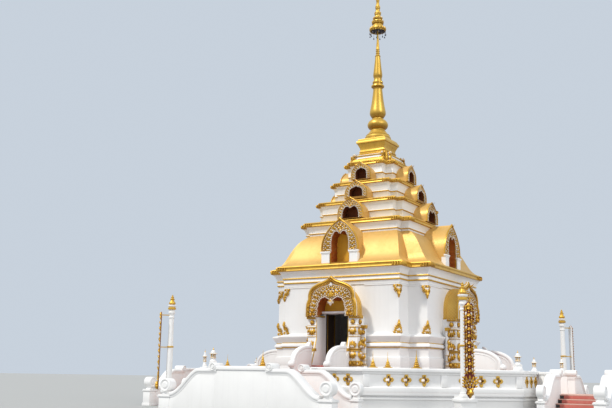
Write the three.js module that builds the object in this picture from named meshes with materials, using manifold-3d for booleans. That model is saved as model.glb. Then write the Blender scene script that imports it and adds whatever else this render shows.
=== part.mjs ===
// A twelve-cornered temple pagoda on an octagonal terrace, with a double stair on each side.
// Millimetres, +Z up. The origin is on the ground under the spire. The front faces -Y.

import * as THREE from 'three';
import { mergeVertices } from 'three/addons/utils/BufferGeometryUtils.js';
import Module from 'manifold-3d';

const wasm = await Module();
wasm.setup();

// Driving dimensions

const CLEAR = 0.3;             // gap left between two pieces that touch
const RISER = 1000 / 6;        // one stair riser

const FLOOR = 1000;            // terrace floor
const APOTHEM = 7780;          // octagon, centre to flat
const COPING_TOP = 1900;       // top of the terrace parapet
const GATE_HALF = 1060;        // half the parapet's gap at each stair

const SILL = 2000;             // hall floor
const WALL_HALF = 3720;        // centre to wall face
const WALL_NOTCH = 2820;       // centre to the corner's notch
const WALL_THICK = 400;
const WALL_TOP = 5460;
const DOOR_HALF = 750;
const DOOR_HEAD = 4230;

const EAVE_TOP = 6392;         // top of the first gold eave
const ROOF_TOP = 7920;

const PORCH_HALF = 1200;
const ARCH_FACE = 4520;        // centre to the face of a porch arch
const PIER_FACE = 4350;        // centre to the face of the piers under it
const PIER_FOOT = 4780;        // centre to the front of the curved foot of a pier
const SPRING = 4060;           // top of the piers
const MOULDING_OUT = 3930;     // just past the widest moulding of the walls

const LEAF = { heel: 12, thick: 50, hingeX: 717, hingeY: 3575, meet: 3, low: 2012, high: 4215, pin: 12 };

const STAIR_IN = 8750;         // centre to the inner side of the treads
const STAIR_OUT = 10500;       // centre to the outer side of the treads
const OUTER_WALL = 500;
const INNER_WALL = 400;
const LANDING_HALF = 1350;
const TREAD = 330;
const NEWEL = {
  outer: { from: 3240, to: 3740, lap: 40, cap: 800, head: 250, slim: 60 },
  inner: { from: 3240, to: 3540, lap: 50, cap: 780, head: 250, slim: 80 },
};

const POLE_AT = 6800;          // each pole stands at (+-POLE_AT, +-POLE_AT)

const QUARTER = Math.PI / 2;
const SIDES = ['front', 'right', 'back', 'left'];
const CORNERS = ['front_right', 'back_right', 'back_left', 'front_left'];
const OCTAGON = Math.tan(Math.PI / 8);

// Finishes

const finish = (color, roughness, metalness) => new THREE.MeshStandardMaterial({ color, roughness, metalness });
const plaster = finish(0xf1eeec, 0.7, 0);
const gold = finish(0xd9a63c, 0.4, 0.6);
const carvedGold = finish(0xc98f2a, 0.45, 0.6);
const redTread = finish(0xb0554f, 0.7, 0);
const darkWood = finish(0x2a1a12, 0.5, 0);
const redWood = finish(0x5a1c14, 0.6, 0);

// Helpers for solids

function solid(geometry) {
  const bare = geometry.index ? geometry.toNonIndexed() : geometry.clone();
  bare.deleteAttribute('normal');
  bare.deleteAttribute('uv');
  const merged = mergeVertices(bare, 1e-3);
  return new wasm.Manifold(new wasm.Mesh({
    numProp: 3,
    vertProperties: new Float32Array(merged.attributes.position.array),
    triVerts: new Uint32Array(merged.index.array),
  }));
}

const join = (solids) => solids.reduce((whole, next) => whole.add(next));
const cut = (body, tools) => tools.reduce((rest, tool) => rest.subtract(tool), body);

function box(x0, x1, y0, y1, z0, z1) {
  const shape = new THREE.BoxGeometry(x1 - x0, y1 - y0, z1 - z0);
  shape.translate((x0 + x1) / 2, (y0 + y1) / 2, (z0 + z1) / 2);
  return solid(shape);
}

// A flat outline of [x, z] points, pushed along Y from y0 to y1.
function slab(outline, y0, y1, holes = []) {
  const shape = new THREE.Shape(outline.map(([x, z]) => new THREE.Vector2(x, z)));
  for (const hole of holes) shape.holes.push(new THREE.Path(hole.map(([x, z]) => new THREE.Vector2(x, z))));
  const geometry = new THREE.ExtrudeGeometry(shape, { depth: y1 - y0, bevelEnabled: false });
  geometry.rotateX(QUARTER);
  geometry.translate(0, y1, 0);
  return solid(geometry);
}

// Closed outlines with like numbers of points, one above another, joined by walls.
function stack(rings) {
  const count = rings[0].points.length;
  const positions = [];
  const index = [];
  for (const { z, points } of rings) for (const [x, y] of points) positions.push(x, y, z);
  for (let level = 0; level + 1 < rings.length; level++) {
    for (let k = 0; k < count; k++) {
      const a = level * count + k;
      const b = level * count + (k + 1) % count;
      index.push(a, b, b + count, a, b + count, a + count);
    }
  }
  const capOf = (ring) => THREE.ShapeUtils.triangulateShape(ring.points.map(([x, y]) => new THREE.Vector2(x, y)), []);
  const top = (rings.length - 1) * count;
  for (const [a, b, c] of capOf(rings[0])) index.push(a, c, b);
  for (const [a, b, c] of capOf(rings[rings.length - 1])) index.push(top + a, top + b, top + c);
  const geometry = new THREE.BufferGeometry();
  geometry.setAttribute('position', new THREE.Float32BufferAttribute(positions, 3));
  geometry.setIndex(index);
  return solid(geometry);
}

function lathe(profile, segments) {
  const points = profile.map(([radius, z]) => new THREE.Vector2(radius, z));
  const geometry = new THREE.LatheGeometry(points, segments);
  geometry.rotateX(QUARTER);
  return solid(geometry);
}

const quarterTurn = (shape, k) => shape.rotate([0, 0, 90 * k]);
const mirrorX = (shape) => shape.mirror([1, 0, 0]);

const group = new THREE.Group();

function place(name, shape, material, position = [0, 0, 0], turn = 0) {
  const { vertProperties, triVerts } = shape.getMesh();
  const geometry = new THREE.BufferGeometry();
  geometry.setAttribute('position', new THREE.BufferAttribute(new Float32Array(vertProperties), 3));
  geometry.setIndex(new THREE.BufferAttribute(new Uint32Array(triVerts), 1));
  geometry.computeVertexNormals();
  const mesh = new THREE.Mesh(geometry, material);
  mesh.name = name;
  mesh.position.set(...position);
  mesh.rotation.z = turn;
  group.add(mesh);
}

// Twelve-cornered outline: half is centre to face, notch is centre to the step at each corner.
function redented(half, notch) {
  const corner = [[notch, -half], [notch, -notch], [half, -notch]];
  const points = [];
  for (let k = 0; k < 4; k++) {
    const c = [1, 0, -1, 0][k];
    const s = [0, 1, 0, -1][k];
    for (const [x, y] of corner) points.push([c * x - s * y, s * x + c * y]);
  }
  return points;
}

// Levels of [z, half, notch], grown sideways by grow.
const tiers = (levels, grow = 0) => stack(levels.map(([z, half, notch], k) => {
  const lift = k === 0 ? -grow : k === levels.length - 1 ? grow : 0;
  return { z: z + lift, points: redented(half + grow, notch + grow) };
}));

// Terrace

const octagon = (apothem) => [1, 3, 5, 7, 9, 11, 13, 15].map((k) => {
  const radius = apothem / Math.cos(Math.PI / 8);
  const angle = k * Math.PI / 8;
  return [radius * Math.cos(angle), radius * Math.sin(angle)];
});

const LEDGE = APOTHEM + 80;

function terracePlatform() {
  const levels = [[0, APOTHEM], [740, APOTHEM], [750, APOTHEM + 50], [820, APOTHEM + 50], [830, APOTHEM - 30],
    [880, APOTHEM - 30], [900, LEDGE], [FLOOR, LEDGE]];
  return stack(levels.map(([z, apothem]) => ({ z, points: octagon(apothem) })));
}

const QUATREFOIL = { z: 1470, width: 320, height: 385, onChamfer: [800, 1510, 2210], onFace: [1470, 2050, 2630] };
const PARAPET_IN = APOTHEM - 220;
const COPING_IN = APOTHEM - 300;
const COPING_OUT = APOTHEM + 110;
const PILASTER = { width: 250, proud: 50, low: 1220, high: 1640 };

function parapetRing(z, outer, inner) {
  const path = (a) => [[GATE_HALF, -a], [a * OCTAGON, -a], [a, -a * OCTAGON], [a, -GATE_HALF]];
  return { z, points: [...path(outer), ...path(inner).reverse()] };
}

// Four arms about a centre, waisted where they meet, as one closed outline.
const ARM = [[0.3, -0.3], [0.86, -0.36], [1, 0], [0.86, 0.36]];

function quatrefoil(x, z, width, height) {
  const points = [];
  for (let k = 0; k < 4; k++) {
    const c = Math.round(Math.cos(k * QUARTER));
    const s = Math.round(Math.sin(k * QUARTER));
    for (const [u, v] of ARM) points.push([x + (c * u - s * v) * width / 2, z + (s * u + c * v) * height / 2]);
  }
  return points;
}

const miniChedi = (height) => lathe([[0, -20], [190, -20], [190, 30], [95, 220], [40, 330], [0, height]], 6);
const lantern = () => lathe([[0, -20], [150, -20], [150, 40], [80, 200], [120, 250], [110, 330], [0, 620]], 6);

// The wall from the front gate, round the front right chamfer, to the right gate.
function parapet() {
  const wall = stack([
    parapetRing(FLOOR, APOTHEM + 70, PARAPET_IN), parapetRing(1180, APOTHEM + 70, PARAPET_IN),
    parapetRing(1220, APOTHEM, PARAPET_IN), parapetRing(1650, APOTHEM, PARAPET_IN),
    parapetRing(1690, APOTHEM + 50, COPING_IN), parapetRing(1760, APOTHEM + 50, COPING_IN),
    parapetRing(1770, COPING_OUT, COPING_IN), parapetRing(1870, COPING_OUT, COPING_IN),
    parapetRing(COPING_TOP, COPING_OUT - 40, COPING_IN + 40)]);
  const { width, proud, low, high } = PILASTER;
  const edge = APOTHEM * OCTAGON;
  const pilasterAt = (x) => box(x - width / 2, x + width / 2, -APOTHEM - proud, -APOTHEM + 50, low - 5, high + 20);
  const chamfer = join([-edge + width / 2 + 10, 0, edge - width / 2 - 10].map(pilasterAt)).rotate([0, 0, 45]);
  const hole = (x) => slab(quatrefoil(x, QUATREFOIL.z, QUATREFOIL.width, QUATREFOIL.height), -APOTHEM - 60, -PARAPET_IN + 60);
  const chamferHoles = QUATREFOIL.onChamfer.flatMap((s) => [hole(s), hole(-s)]).map((tool) => tool.rotate([0, 0, 45]));
  const frontHoles = QUATREFOIL.onFace.map(hole);
  const rightHoles = QUATREFOIL.onFace.map((x) => quarterTurn(hole(-x), 1));
  const coping = -(COPING_OUT + COPING_IN) / 2;
  const chedis = [[-2810, 550], [-2220, 550], [-1080, 610]].map(
    ([s, height]) => miniChedi(height).translate([s, coping, COPING_TOP]).rotate([0, 0, 45]));
  const lanterns = [lantern().translate([3110, coping, COPING_TOP]).rotate([0, 0, 45]),
    lantern().translate([-coping, -1440, COPING_TOP])];
  const body = cut(join([wall, chamfer]), [...chamferHoles, ...frontHoles, ...rightHoles]);
  return join([body, ...chedis, ...lanterns]);
}

// Stairs to the terrace

const RAIL = { high: 1790, low: 900, start: 1900, end: 3240, coping: 220 };

// Height of a stair rail's top, level over the landing and then an S down to the newel.
function railTop(x) {
  const t = THREE.MathUtils.clamp((x - RAIL.start) / (RAIL.end - RAIL.start), 0, 1);
  return RAIL.high + (RAIL.low - RAIL.high) * THREE.MathUtils.smoothstep(t, 0, 1);
}

const railSteps = Array.from({ length: 7 }, (_, k) => RAIL.start + (RAIL.end - RAIL.start) * k / 6);

// One arm of a rail: from x0 over the S to the newel and its scroll, on y0 to y1.
function railArm(x0, y0, y1, lap, newel) {
  const tops = [x0, ...railSteps].map((x) => [x, railTop(x)]);
  const wall = slab([[x0, 0], [RAIL.end, 0], ...[...tops].reverse().map(([x, z]) => [x, z - 20])], y0 + lap, y1 - lap);
  const under = [...tops].reverse().map(([x, z]) => [x, z - RAIL.coping]);
  const coping = slab([...under.reverse(), ...[...tops].reverse()], y0, y1);
  const { from, to, cap, head, slim } = newel;
  const post = box(from - 10, to, y0 + newel.lap, y1 - newel.lap, 0, cap - 60);
  const capping = box(from - 40, to + 40, y0 + newel.lap - 40, y1 - newel.lap + 40, cap - 100, cap);
  const neck = box(from - 10, to - 100, y0 + slim, y1 - slim, cap - 10, cap + head);
  const scroll = disc((from + to) / 2, cap + head + 90, head, y0 + slim, y1 - slim);
  return join([wall, coping, post, capping, neck, scroll]);
}

function disc(x, z, radius, y0, y1) {
  const points = Array.from({ length: 8 }, (_, k) => {
    const angle = (k + 0.5) * Math.PI / 4;
    return [x + radius * Math.cos(angle), z + radius * Math.sin(angle)];
  });
  return slab(points, y0, y1);
}

const RAIL_LAP = 40;

function outerWall() {
  const y0 = -STAIR_OUT - OUTER_WALL;
  const y1 = -STAIR_OUT;
  const arm = railArm(1100, y0, y1, RAIL_LAP, NEWEL.outer);
  const middle = box(-1150, 1150, y0 + RAIL_LAP, y1 - RAIL_LAP, 0, 1800);
  const coping = box(-1150, 1150, y0, y1, 1740, 1870);
  const scroll = disc(1230, 1840, 140, y0 - 15, y1 + 15);
  return join([arm, mirrorX(arm), middle, coping, scroll, mirrorX(scroll)]);
}

// Landing, both flights, the two inner rails and the low walls from them to the gate, on one side.
function stair() {
  const treadIn = -STAIR_IN;
  const outer = -STAIR_OUT - RAIL_LAP + CLEAR;
  const steps = [];
  for (let k = 0; k < 5; k++) {
    const reach = LANDING_HALF + TREAD * (5 - k);
    steps.push([reach, RISER * k], [reach, RISER * (k + 1)]);
  }
  const profile = [...steps, [LANDING_HALF, RISER * 5], [LANDING_HALF, FLOOR]];
  const outline = [...profile, ...[...profile].reverse().map(([x, z]) => [-x, z])];
  const flights = slab(outline, outer, treadIn + 50);
  const landing = box(-GATE_HALF - 100, GATE_HALF + 100, outer, -LEDGE - CLEAR, 0, FLOOR);
  const y1 = treadIn + INNER_WALL;
  const rail = railArm(GATE_HALF + 60, treadIn, y1, RAIL_LAP, NEWEL.inner);
  const scroll = disc(GATE_HALF + 110, 1840, 140, treadIn - 15, y1 + 15);
  const cheek = box(GATE_HALF + 30, GATE_HALF + 290, y1 - 50, -COPING_OUT - CLEAR, 0, 1750);
  const cap = box(GATE_HALF, GATE_HALF + 320, y1 - 50, -COPING_OUT - CLEAR, 1740, 1870);
  const side = join([rail, scroll, cheek, cap]);
  return join([flights, landing, side, mirrorX(side)]);
}

// Building

const PLINTH = [[FLOOR, 3880, 2980], [1150, 3880, 2980], [1190, 3810, 2910], [SILL, 3810, 2910]];
const WALL = [[SILL, 3810, 2910], [2380, 3810, 2910], [2400, 3760, 2860], [2740, 3750, 2855], [2760, 3800, 2900],
  [2810, 3800, 2900], [2830, 3860, 2960], [2930, 3830, 2930], [2970, 3780, 2880], [3010, 3780, 2880],
  [3040, 3800, 2900], [3240, 3920, 3020], [3290, 3910, 3010], [3340, 3760, 2860], [3400, WALL_HALF, WALL_NOTCH],
  [5390, WALL_HALF, WALL_NOTCH], [5400, 3750, 2850], [WALL_TOP, 3750, 2850]];
const CORNICE = [[WALL_TOP + CLEAR, 3760, 2860], [5600, 3760, 2860], [5620, 3800, 2900], [5660, 3800, 2900],
  [5670, 3770, 2870], [5810, 3780, 2880], [5815, 3820, 2920], [5850, 3820, 2920], [5860, 3800, 2900],
  [6000, 3850, 2950], [6120, 3920, 3020], [6150, 3950, 3050], [6164, 4000, 3100], [6350, 4000, 3100],
  [EAVE_TOP, 3970, 3070]];
const ROOF = [[EAVE_TOP + CLEAR, 3940, 3060], [6500, 3740, 2890], [6700, 3560, 2760], [6980, 3400, 2670],
  [7340, 3200, 2560], [7620, 3000, 2450], [7820, 2800, 2330], [ROOF_TOP, 2640, 2230]];
const TIER_2 = [[ROOF_TOP + CLEAR, 2620, 2230], [8000, 2620, 2230], [8010, 2660, 2270], [8050, 2660, 2270],
  [8060, 2630, 2240], [8330, 2740, 2360], [8356, 2805, 2424], [8520, 2805, 2424], [8549, 2770, 2390],
  [8590, 2200, 1850]];
const TIER_3 = [[8590 + CLEAR, 2120, 1800], [8950, 2120, 1800], [8960, 2170, 1850], [9010, 2170, 1850],
  [9020, 2130, 1810], [9380, 2220, 1900], [9401, 2274, 1959], [9540, 2274, 1959], [9569, 2240, 1930],
  [9600, 1720, 1420]];
const TIER_4 = [[9600 + CLEAR, 1630, 1310], [9950, 1630, 1310], [9960, 1680, 1360], [10010, 1680, 1360],
  [10020, 1640, 1320], [10380, 1730, 1390], [10402, 1784, 1443], [10540, 1784, 1443], [10569, 1750, 1410],
  [10600, 1260, 890]];
const TIER_5 = [[10600 + CLEAR, 1180, 800], [10970, 1180, 800], [10980, 1230, 850], [11020, 1230, 850],
  [11030, 1190, 810], [11420, 1270, 880], [11440, 1321, 931], [11600, 1321, 931], [11620, 1290, 900]];
const THRONE = [[11620 + CLEAR, 1130, 800], [11800, 1130, 800], [11810, 960, 760], [12000, 960, 760],
  [12010, 800, 700], [12250, 660, 620], [12420, 720, 690], [12450, 780, 770], [12780, 780, 770],
  [12900, 700, 690]];

// Both halves of an outline that stands on the XZ plane, given its right half up to the tip.
const bothSides = (right, tip) => [...right, [0, tip], ...[...right].reverse().map(([x, z]) => [-x, z])];

// A round arch with a small pointed tip, from one foot to the other: [x, z] points.
function ogee(half, foot, shoulder, tip) {
  const rise = tip - shoulder;
  const side = [[1, foot - shoulder], [1, 0], [0.97, 0.25 * rise], [0.78, 0.56 * rise], [0.6, 0.78 * rise],
    [0.38, 0.9 * rise], [0.12, 0.96 * rise]];
  return bothSides(side.map(([u, dz]) => [u * half, shoulder + dz]), tip);
}

// An outline of [distance in front of the centre, z], made into a slab from x0 to x1 on the left side.
const across = (outline, x0, x1) => slab(outline, -x1, -x0).rotate([0, 0, 270]);

// The tip of an arch, curled forwards off its face.
const horn = (face, tip) => across([[face - 60, tip - 70], [face + 20, tip - 90], [face + 110, tip - 20],
  [face + 150, tip + 40], [face + 60, tip + 15], [face - 60, tip]], -35, 35);

// A round arch with a drop at its crown.
function cusped(half, foot, shoulder, crown) {
  const rise = crown - shoulder;
  const right = [[1, foot - shoulder], [1, 0], [0.85, 0.62 * rise], [0.42, rise]].map(
    ([u, dz]) => [u * half, shoulder + dz]);
  return [...right, [0, shoulder + 0.72 * rise], ...right.reverse().map(([x, z]) => [-x, z])];
}

const NICHES = {
  roof: { half: 880, foot: 6380, shoulder: 6980, tip: 8410, face: 3750, back: 2500,
    opening: [475, 6480, 7400, 7910], depth: 600 },
  tier3: { half: 620, foot: 8595, shoulder: 8760, tip: 9540, face: 2800, back: 2000,
    opening: [410, 8610, 8790, 9170], depth: 450 },
  tier4: { half: 550, foot: 9605, shoulder: 9790, tip: 10450, face: 2270, back: 1500,
    opening: [320, 9720, 9880, 10190], depth: 420 },
  tier5: { half: 490, foot: 10605, shoulder: 10780, tip: 11440, face: 1780, back: 1000,
    opening: [245, 10630, 10850, 11160], depth: 400 },
};

// One niche, seen from the front: an arch-shaped block with a hollow in its face.
function niche({ half, foot, shoulder, tip, face, back, opening, depth }) {
  const block = join([slab(ogee(half, foot, shoulder, tip), -face, -back), horn(face, tip)]);
  const hollow = slab(cusped(...opening), -face - 10, -face + depth);
  return { block, hollow };
}

function withNiches(body, plan) {
  const { block, hollow } = niche(plan);
  const turns = [0, 1, 2, 3];
  const whole = join([body, ...turns.map((k) => quarterTurn(block, k))]);
  return cut(whole, turns.map((k) => quarterTurn(hollow, k)));
}

// The corner of the hall wall from the front doorway to the right doorway.
function wallCorner() {
  const inHalf = WALL_HALF - WALL_THICK;
  const inNotch = WALL_NOTCH - WALL_THICK;
  const rings = WALL.map(([z, half, notch]) => ({ z, points: [
    [DOOR_HALF, -half], [notch, -half], [notch, -notch], [half, -notch], [half, -DOOR_HALF],
    [inHalf, -DOOR_HALF], [inHalf, -inNotch], [inNotch, -inNotch], [inNotch, -inHalf], [DOOR_HALF, -inHalf]] }));
  const seat = PORCH_HALF + CLEAR;
  const porchSeat = box(0, seat, -4500, -WALL_HALF, 0, 6000);
  const rightSeat = box(WALL_HALF, 4500, -seat, 0, 0, 6000);
  return cut(stack(rings), [porchSeat, rightSeat]);
}

function plinth() {
  const seat = PORCH_HALF + CLEAR;
  const cuts = [0, 1, 2, 3].map((k) => quarterTurn(box(-seat, seat, -4500, -WALL_HALF, 0, 3000), k));
  return cut(tiers(PLINTH), cuts);
}

// One porch: two piers, the arch on them, the vault behind it and the wall over the doorway.
const ARCH = bothSides([[1150, SPRING], [1140, 4660], [1035, 4730], [1030, 4950], [975, 5140], [880, 5250],
  [640, 5390], [390, 5500], [160, 5610]], 5680);
const VAULT = bothSides([[1090, SPRING], [1080, 4450], [1030, 4730], [935, 4935], [815, 5100], [640, 5250],
  [420, 5380], [190, 5470]], 5520);
const WING = { to: 1400, face: 4020, top: 3690 };

function porch() {
  const front = slab(ARCH, -ARCH_FACE, -PIER_FACE + 10);
  const vault = slab(VAULT, -PIER_FACE, -WALL_HALF - CLEAR);
  const hollow = slab(cusped(720, SPRING - 10, 4400, 4930), -ARCH_FACE - 10, -WALL_HALF - 30);
  const arch = cut(join([front, vault]), [hollow]);
  const beak = across([[4460, 5600], [4540, 5560], [4700, 5600], [4800, 5700], [4640, 5680], [4460, 5700]], -40, 40);
  const onPier = (x0, x1, from, z0, z1) => {
    const block = box(x0, x1, -from, -MOULDING_OUT, z0, z1);
    return [block, mirrorX(block)];
  };
  const pier = box(DOOR_HALF, PORCH_HALF, -PIER_FACE, -WALL_HALF - CLEAR, FLOOR, SPRING + 20);
  const flare = across([[PIER_FACE - 10, FLOOR], [PIER_FOOT, FLOOR], [PIER_FOOT, 1960], [4620, 2330], [4520, 2620],
    [4425, 2920], [PIER_FACE - 10, 3200]], DOOR_HALF, DOOR_HALF + 110);
  const blocks = [
    ...onPier(DOOR_HALF + 110, PORCH_HALF + 50, PIER_FACE + 60, FLOOR, 2200),
    ...onPier(DOOR_HALF + 20, PORCH_HALF + 40, PIER_FACE + 40, 3600, 3690),
    ...onPier(DOOR_HALF + 20, PORCH_HALF + 40, PIER_FACE + 60, 3960, 4100),
    ...onPier(PORCH_HALF - 10, WING.to, WING.face, FLOOR, WING.top - 10),
    ...onPier(PORCH_HALF - 10, WING.to + 90, WING.face + 50, FLOOR, 2250),
    ...onPier(PORCH_HALF - 10, WING.to + 90, WING.face + 50, 3580, WING.top)];
  const lintel = box(-DOOR_HALF - 10, DOOR_HALF + 10, -4020, -WALL_HALF - CLEAR, DOOR_HEAD, DOOR_HEAD + 100);
  const overDoor = box(-DOOR_HALF + CLEAR, DOOR_HALF - CLEAR, -WALL_HALF - 1, -WALL_HALF + WALL_THICK,
    DOOR_HEAD, WALL_TOP);
  const doorway = box(-720, 720, -ARCH_FACE, -WALL_HALF, SPRING - 20, DOOR_HEAD);
  const whole = join([arch, beak, pier, mirrorX(pier), flare, mirrorX(flare), ...blocks, lintel, overDoor]);
  return cut(whole, [doorway, tiers(CORNICE, CLEAR)]);
}

// Floor between the piers, the steps down from it and their curved side walls.
const STEP_WALL = { from: 720, to: 950, top: 2800, low: 2150, front: 6190, bend: 5050 };

function porchSteps() {
  const half = DOOR_HALF - CLEAR;
  const nose = PIER_FOOT + CLEAR;
  const inside = WALL_HALF + CLEAR;
  const floor = box(-half, half, -nose - 10, -inside, FLOOR, SILL);
  const steps = [];
  for (let k = 0; k < 5; k++) {
    const reach = nose + 280 * (5 - k);
    steps.push([reach, FLOOR + RISER * k], [reach, FLOOR + RISER * (k + 1)]);
  }
  const profile = [[nose, FLOOR], ...steps, [nose + 5, FLOOR + RISER * 5], [nose + 5, SILL], [nose, SILL]];
  const flight = across(profile, -half, half);
  const { from, to, top, low, front, bend } = STEP_WALL;
  const arc = Array.from({ length: 7 }, (_, k) => {
    const angle = k * QUARTER / 6;
    return [bend + (front - bend) * Math.sin(angle), low + (top - low) * Math.cos(angle)];
  });
  const wall = across([[nose, FLOOR], [front, FLOOR], ...[...arc].reverse(), [nose, top]], from, to);
  const curl = across([[nose, top - 10], [5000, top - 10], [4960, 2900], [4880, 2970], [4800, 2940], [nose, 2860]],
    from + 20, to - 20);
  const bulb = lathe([[0, -160], [110, -110], [150, 0], [110, 110], [0, 160]], 8);
  const knob = bulb.translate([-(from + to) / 2, -front - 60, 2020]);
  const side = join([wall, curl, knob]);
  return join([floor, flight, side, mirrorX(side)]);
}

// One leaf, standing open inwards about its pins, on the left of the doorway.
function openLeaf() {
  const { heel, thick, hingeX, hingeY, meet, low, high, pin } = LEAF;
  const reach = hingeX - meet;
  const panel = box(-hingeX - thick / 2, -hingeX + thick / 2, -hingeY - heel, -hingeY + reach, low, high);
  const pins = lathe([[0, SILL + CLEAR], [pin, SILL + CLEAR], [pin, DOOR_HEAD - CLEAR], [0, DOOR_HEAD - CLEAR]], 8);
  return join([panel, pins.translate([-hingeX, -hingeY, 0])]);
}

// A closed pair of leaves with the strip that covers where they meet.
function closedPair() {
  const { thick, hingeY } = LEAF;
  const half = DOOR_HALF - CLEAR;
  const leaves = box(-half, half, -hingeY - thick / 2, -hingeY + thick / 2, SILL + CLEAR, DOOR_HEAD - CLEAR);
  const strip = box(-45, 45, -hingeY - thick / 2 - 30, -hingeY, SILL + 60, DOOR_HEAD - 60);
  return join([leaves, strip]);
}

// Spire

const BELL = [[0, 12900], [657, 12900], [665, 12960], [500, 13210], [343, 13470], [450, 13520], [505, 13700],
  [450, 13880], [290, 13990], [250, 14050], [0, 14050]];
const VASE = [[0, 14050], [250, 14050], [300, 14120], [390, 14230], [396, 14330], [370, 14500], [310, 14800],
  [265, 15150], [223, 15540], [0, 15540]];
const RINGS = [[0, 15540], [223, 15540], [240, 15640], [318, 15660], [318, 15750], [240, 15790], [234, 15970],
  [200, 16170], [225, 16300], [190, 16600], [125, 17280], [135, 17310], [80, 17400], [88, 17680], [45, 18300],
  [30, 18640], [0, 18640]];
const PARASOL = [[0, 18640], [200, 18640], [450, 18600], [440, 18680], [370, 18840], [250, 18960], [300, 19060],
  [200, 19180], [243, 19270], [150, 19420], [167, 19540], [105, 19760], [126, 19880], [70, 20150], [86, 20300],
  [25, 20900], [0, 21200]];

// Poles

function pole() {
  const base = stack([[0, 300], [740, 300], [760, 340], [860, 340], [880, 280],
    [960, 280]].map(([z, half]) => ({ z, points: [[half, -half], [half, half], [-half, half], [-half, -half]] })));
  const shaft = lathe([[0, 950], [200, 950], [140, 1080], [120, 2730], [100, 4160], [170, 4200], [110, 4260],
    [180, 4400], [180, 4440], [100, 4500], [60, 4760], [0, 5030]], 8);
  const arm = (z) => box(-25, 25, -430, 0, z - 25, z + 25);
  return join([base, shaft, arm(4100), arm(2700)]);
}

function banner() {
  const side = [[0, 870], [150, 1060], [90, 1190], [230, 1270], [230, 1640], [175, 1700], [175, 4080],
    [110, 4180], [0, 4250]];
  const left = side.slice(1, -1).reverse().map(([x, z]) => [-x, z]);
  return slab([...side, ...left], -430 - CLEAR - 40, -430 - CLEAR);
}

// Assembly

place('terrace_platform', terracePlatform(), plaster);
const parapetShape = parapet();
const stairShape = stair();
const outerWallShape = outerWall();
const wallShape = wallCorner();
const porchShape = porch();
const stepsShape = porchSteps();
const poleShape = pole();
const bannerShape = banner();

SIDES.forEach((side, k) => {
  place(`stair_${side}`, stairShape, plaster, [0, 0, 0], k * QUARTER);
  place(`stair_wall_${side}`, outerWallShape, plaster, [0, 0, 0], k * QUARTER);
  place(`porch_${side}`, porchShape, carvedGold, [0, 0, 0], k * QUARTER);
  place(`porch_steps_${side}`, stepsShape, redTread, [0, 0, 0], k * QUARTER);
});

CORNERS.forEach((corner, k) => {
  place(`parapet_${corner}`, parapetShape, plaster, [0, 0, 0], k * QUARTER);
  place(`wall_${corner}`, wallShape, plaster, [0, 0, 0], k * QUARTER);
  const at = new THREE.Vector3(POLE_AT, -POLE_AT, 0).applyAxisAngle(new THREE.Vector3(0, 0, 1), k * QUARTER);
  place(`pole_${corner}`, poleShape, plaster, at.toArray(), (k + 0.5) * QUARTER);
  place(`banner_${corner}`, bannerShape, redWood, at.toArray(), (k + 0.5) * QUARTER);
});

place('building_plinth', plinth(), plaster);
place('door_leaf_left', openLeaf(), darkWood);
place('door_leaf_right', mirrorX(openLeaf()), darkWood);
SIDES.slice(1).forEach((side, k) => place(`doors_${side}`, closedPair(), darkWood, [0, 0, 0], (k + 1) * QUARTER));

place('cornice', tiers(CORNICE), plaster);
place('lower_roof', cut(withNiches(tiers(ROOF), NICHES.roof), [tiers(TIER_2, CLEAR), tiers(CORNICE, CLEAR)]), gold);
place('second_eave', tiers(TIER_2), gold);
place('third_tier', withNiches(tiers(TIER_3), NICHES.tier3), gold);
place('fourth_tier', withNiches(tiers(TIER_4), NICHES.tier4), gold);
place('fifth_tier', withNiches(tiers(TIER_5), NICHES.tier5), gold);
place('throne', tiers(THRONE), gold);
place('spire_bell', lathe(BELL, 16), gold, [0, 0, CLEAR]);
place('spire_vase', lathe(VASE, 16), gold, [0, 0, 2 * CLEAR]);
place('spire_rings', lathe(RINGS, 12), gold, [0, 0, 3 * CLEAR]);
place('spire_parasol', lathe(PARASOL, 12), gold, [0, 0, 4 * CLEAR]);

export default group;
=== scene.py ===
import math

import bmesh
import bpy
from mathutils import Matrix, Vector


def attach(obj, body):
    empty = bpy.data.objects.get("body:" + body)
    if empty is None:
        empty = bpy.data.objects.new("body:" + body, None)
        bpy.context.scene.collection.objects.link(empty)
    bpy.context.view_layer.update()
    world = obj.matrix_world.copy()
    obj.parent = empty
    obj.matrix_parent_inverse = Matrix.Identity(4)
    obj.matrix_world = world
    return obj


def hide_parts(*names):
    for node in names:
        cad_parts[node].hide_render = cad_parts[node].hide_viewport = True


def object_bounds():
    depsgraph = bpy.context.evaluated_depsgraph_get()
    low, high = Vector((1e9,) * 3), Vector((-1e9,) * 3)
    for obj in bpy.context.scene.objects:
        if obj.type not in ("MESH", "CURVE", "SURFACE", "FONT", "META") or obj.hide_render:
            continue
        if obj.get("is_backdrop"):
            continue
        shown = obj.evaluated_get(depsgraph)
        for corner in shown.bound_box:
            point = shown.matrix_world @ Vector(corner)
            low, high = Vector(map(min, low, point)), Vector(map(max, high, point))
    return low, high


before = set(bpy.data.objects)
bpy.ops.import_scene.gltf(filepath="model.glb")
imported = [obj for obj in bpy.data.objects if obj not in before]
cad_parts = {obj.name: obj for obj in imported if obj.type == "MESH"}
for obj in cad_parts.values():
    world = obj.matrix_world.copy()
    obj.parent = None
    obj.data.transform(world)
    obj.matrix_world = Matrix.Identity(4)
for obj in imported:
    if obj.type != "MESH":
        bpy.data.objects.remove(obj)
cad_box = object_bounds()

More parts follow.
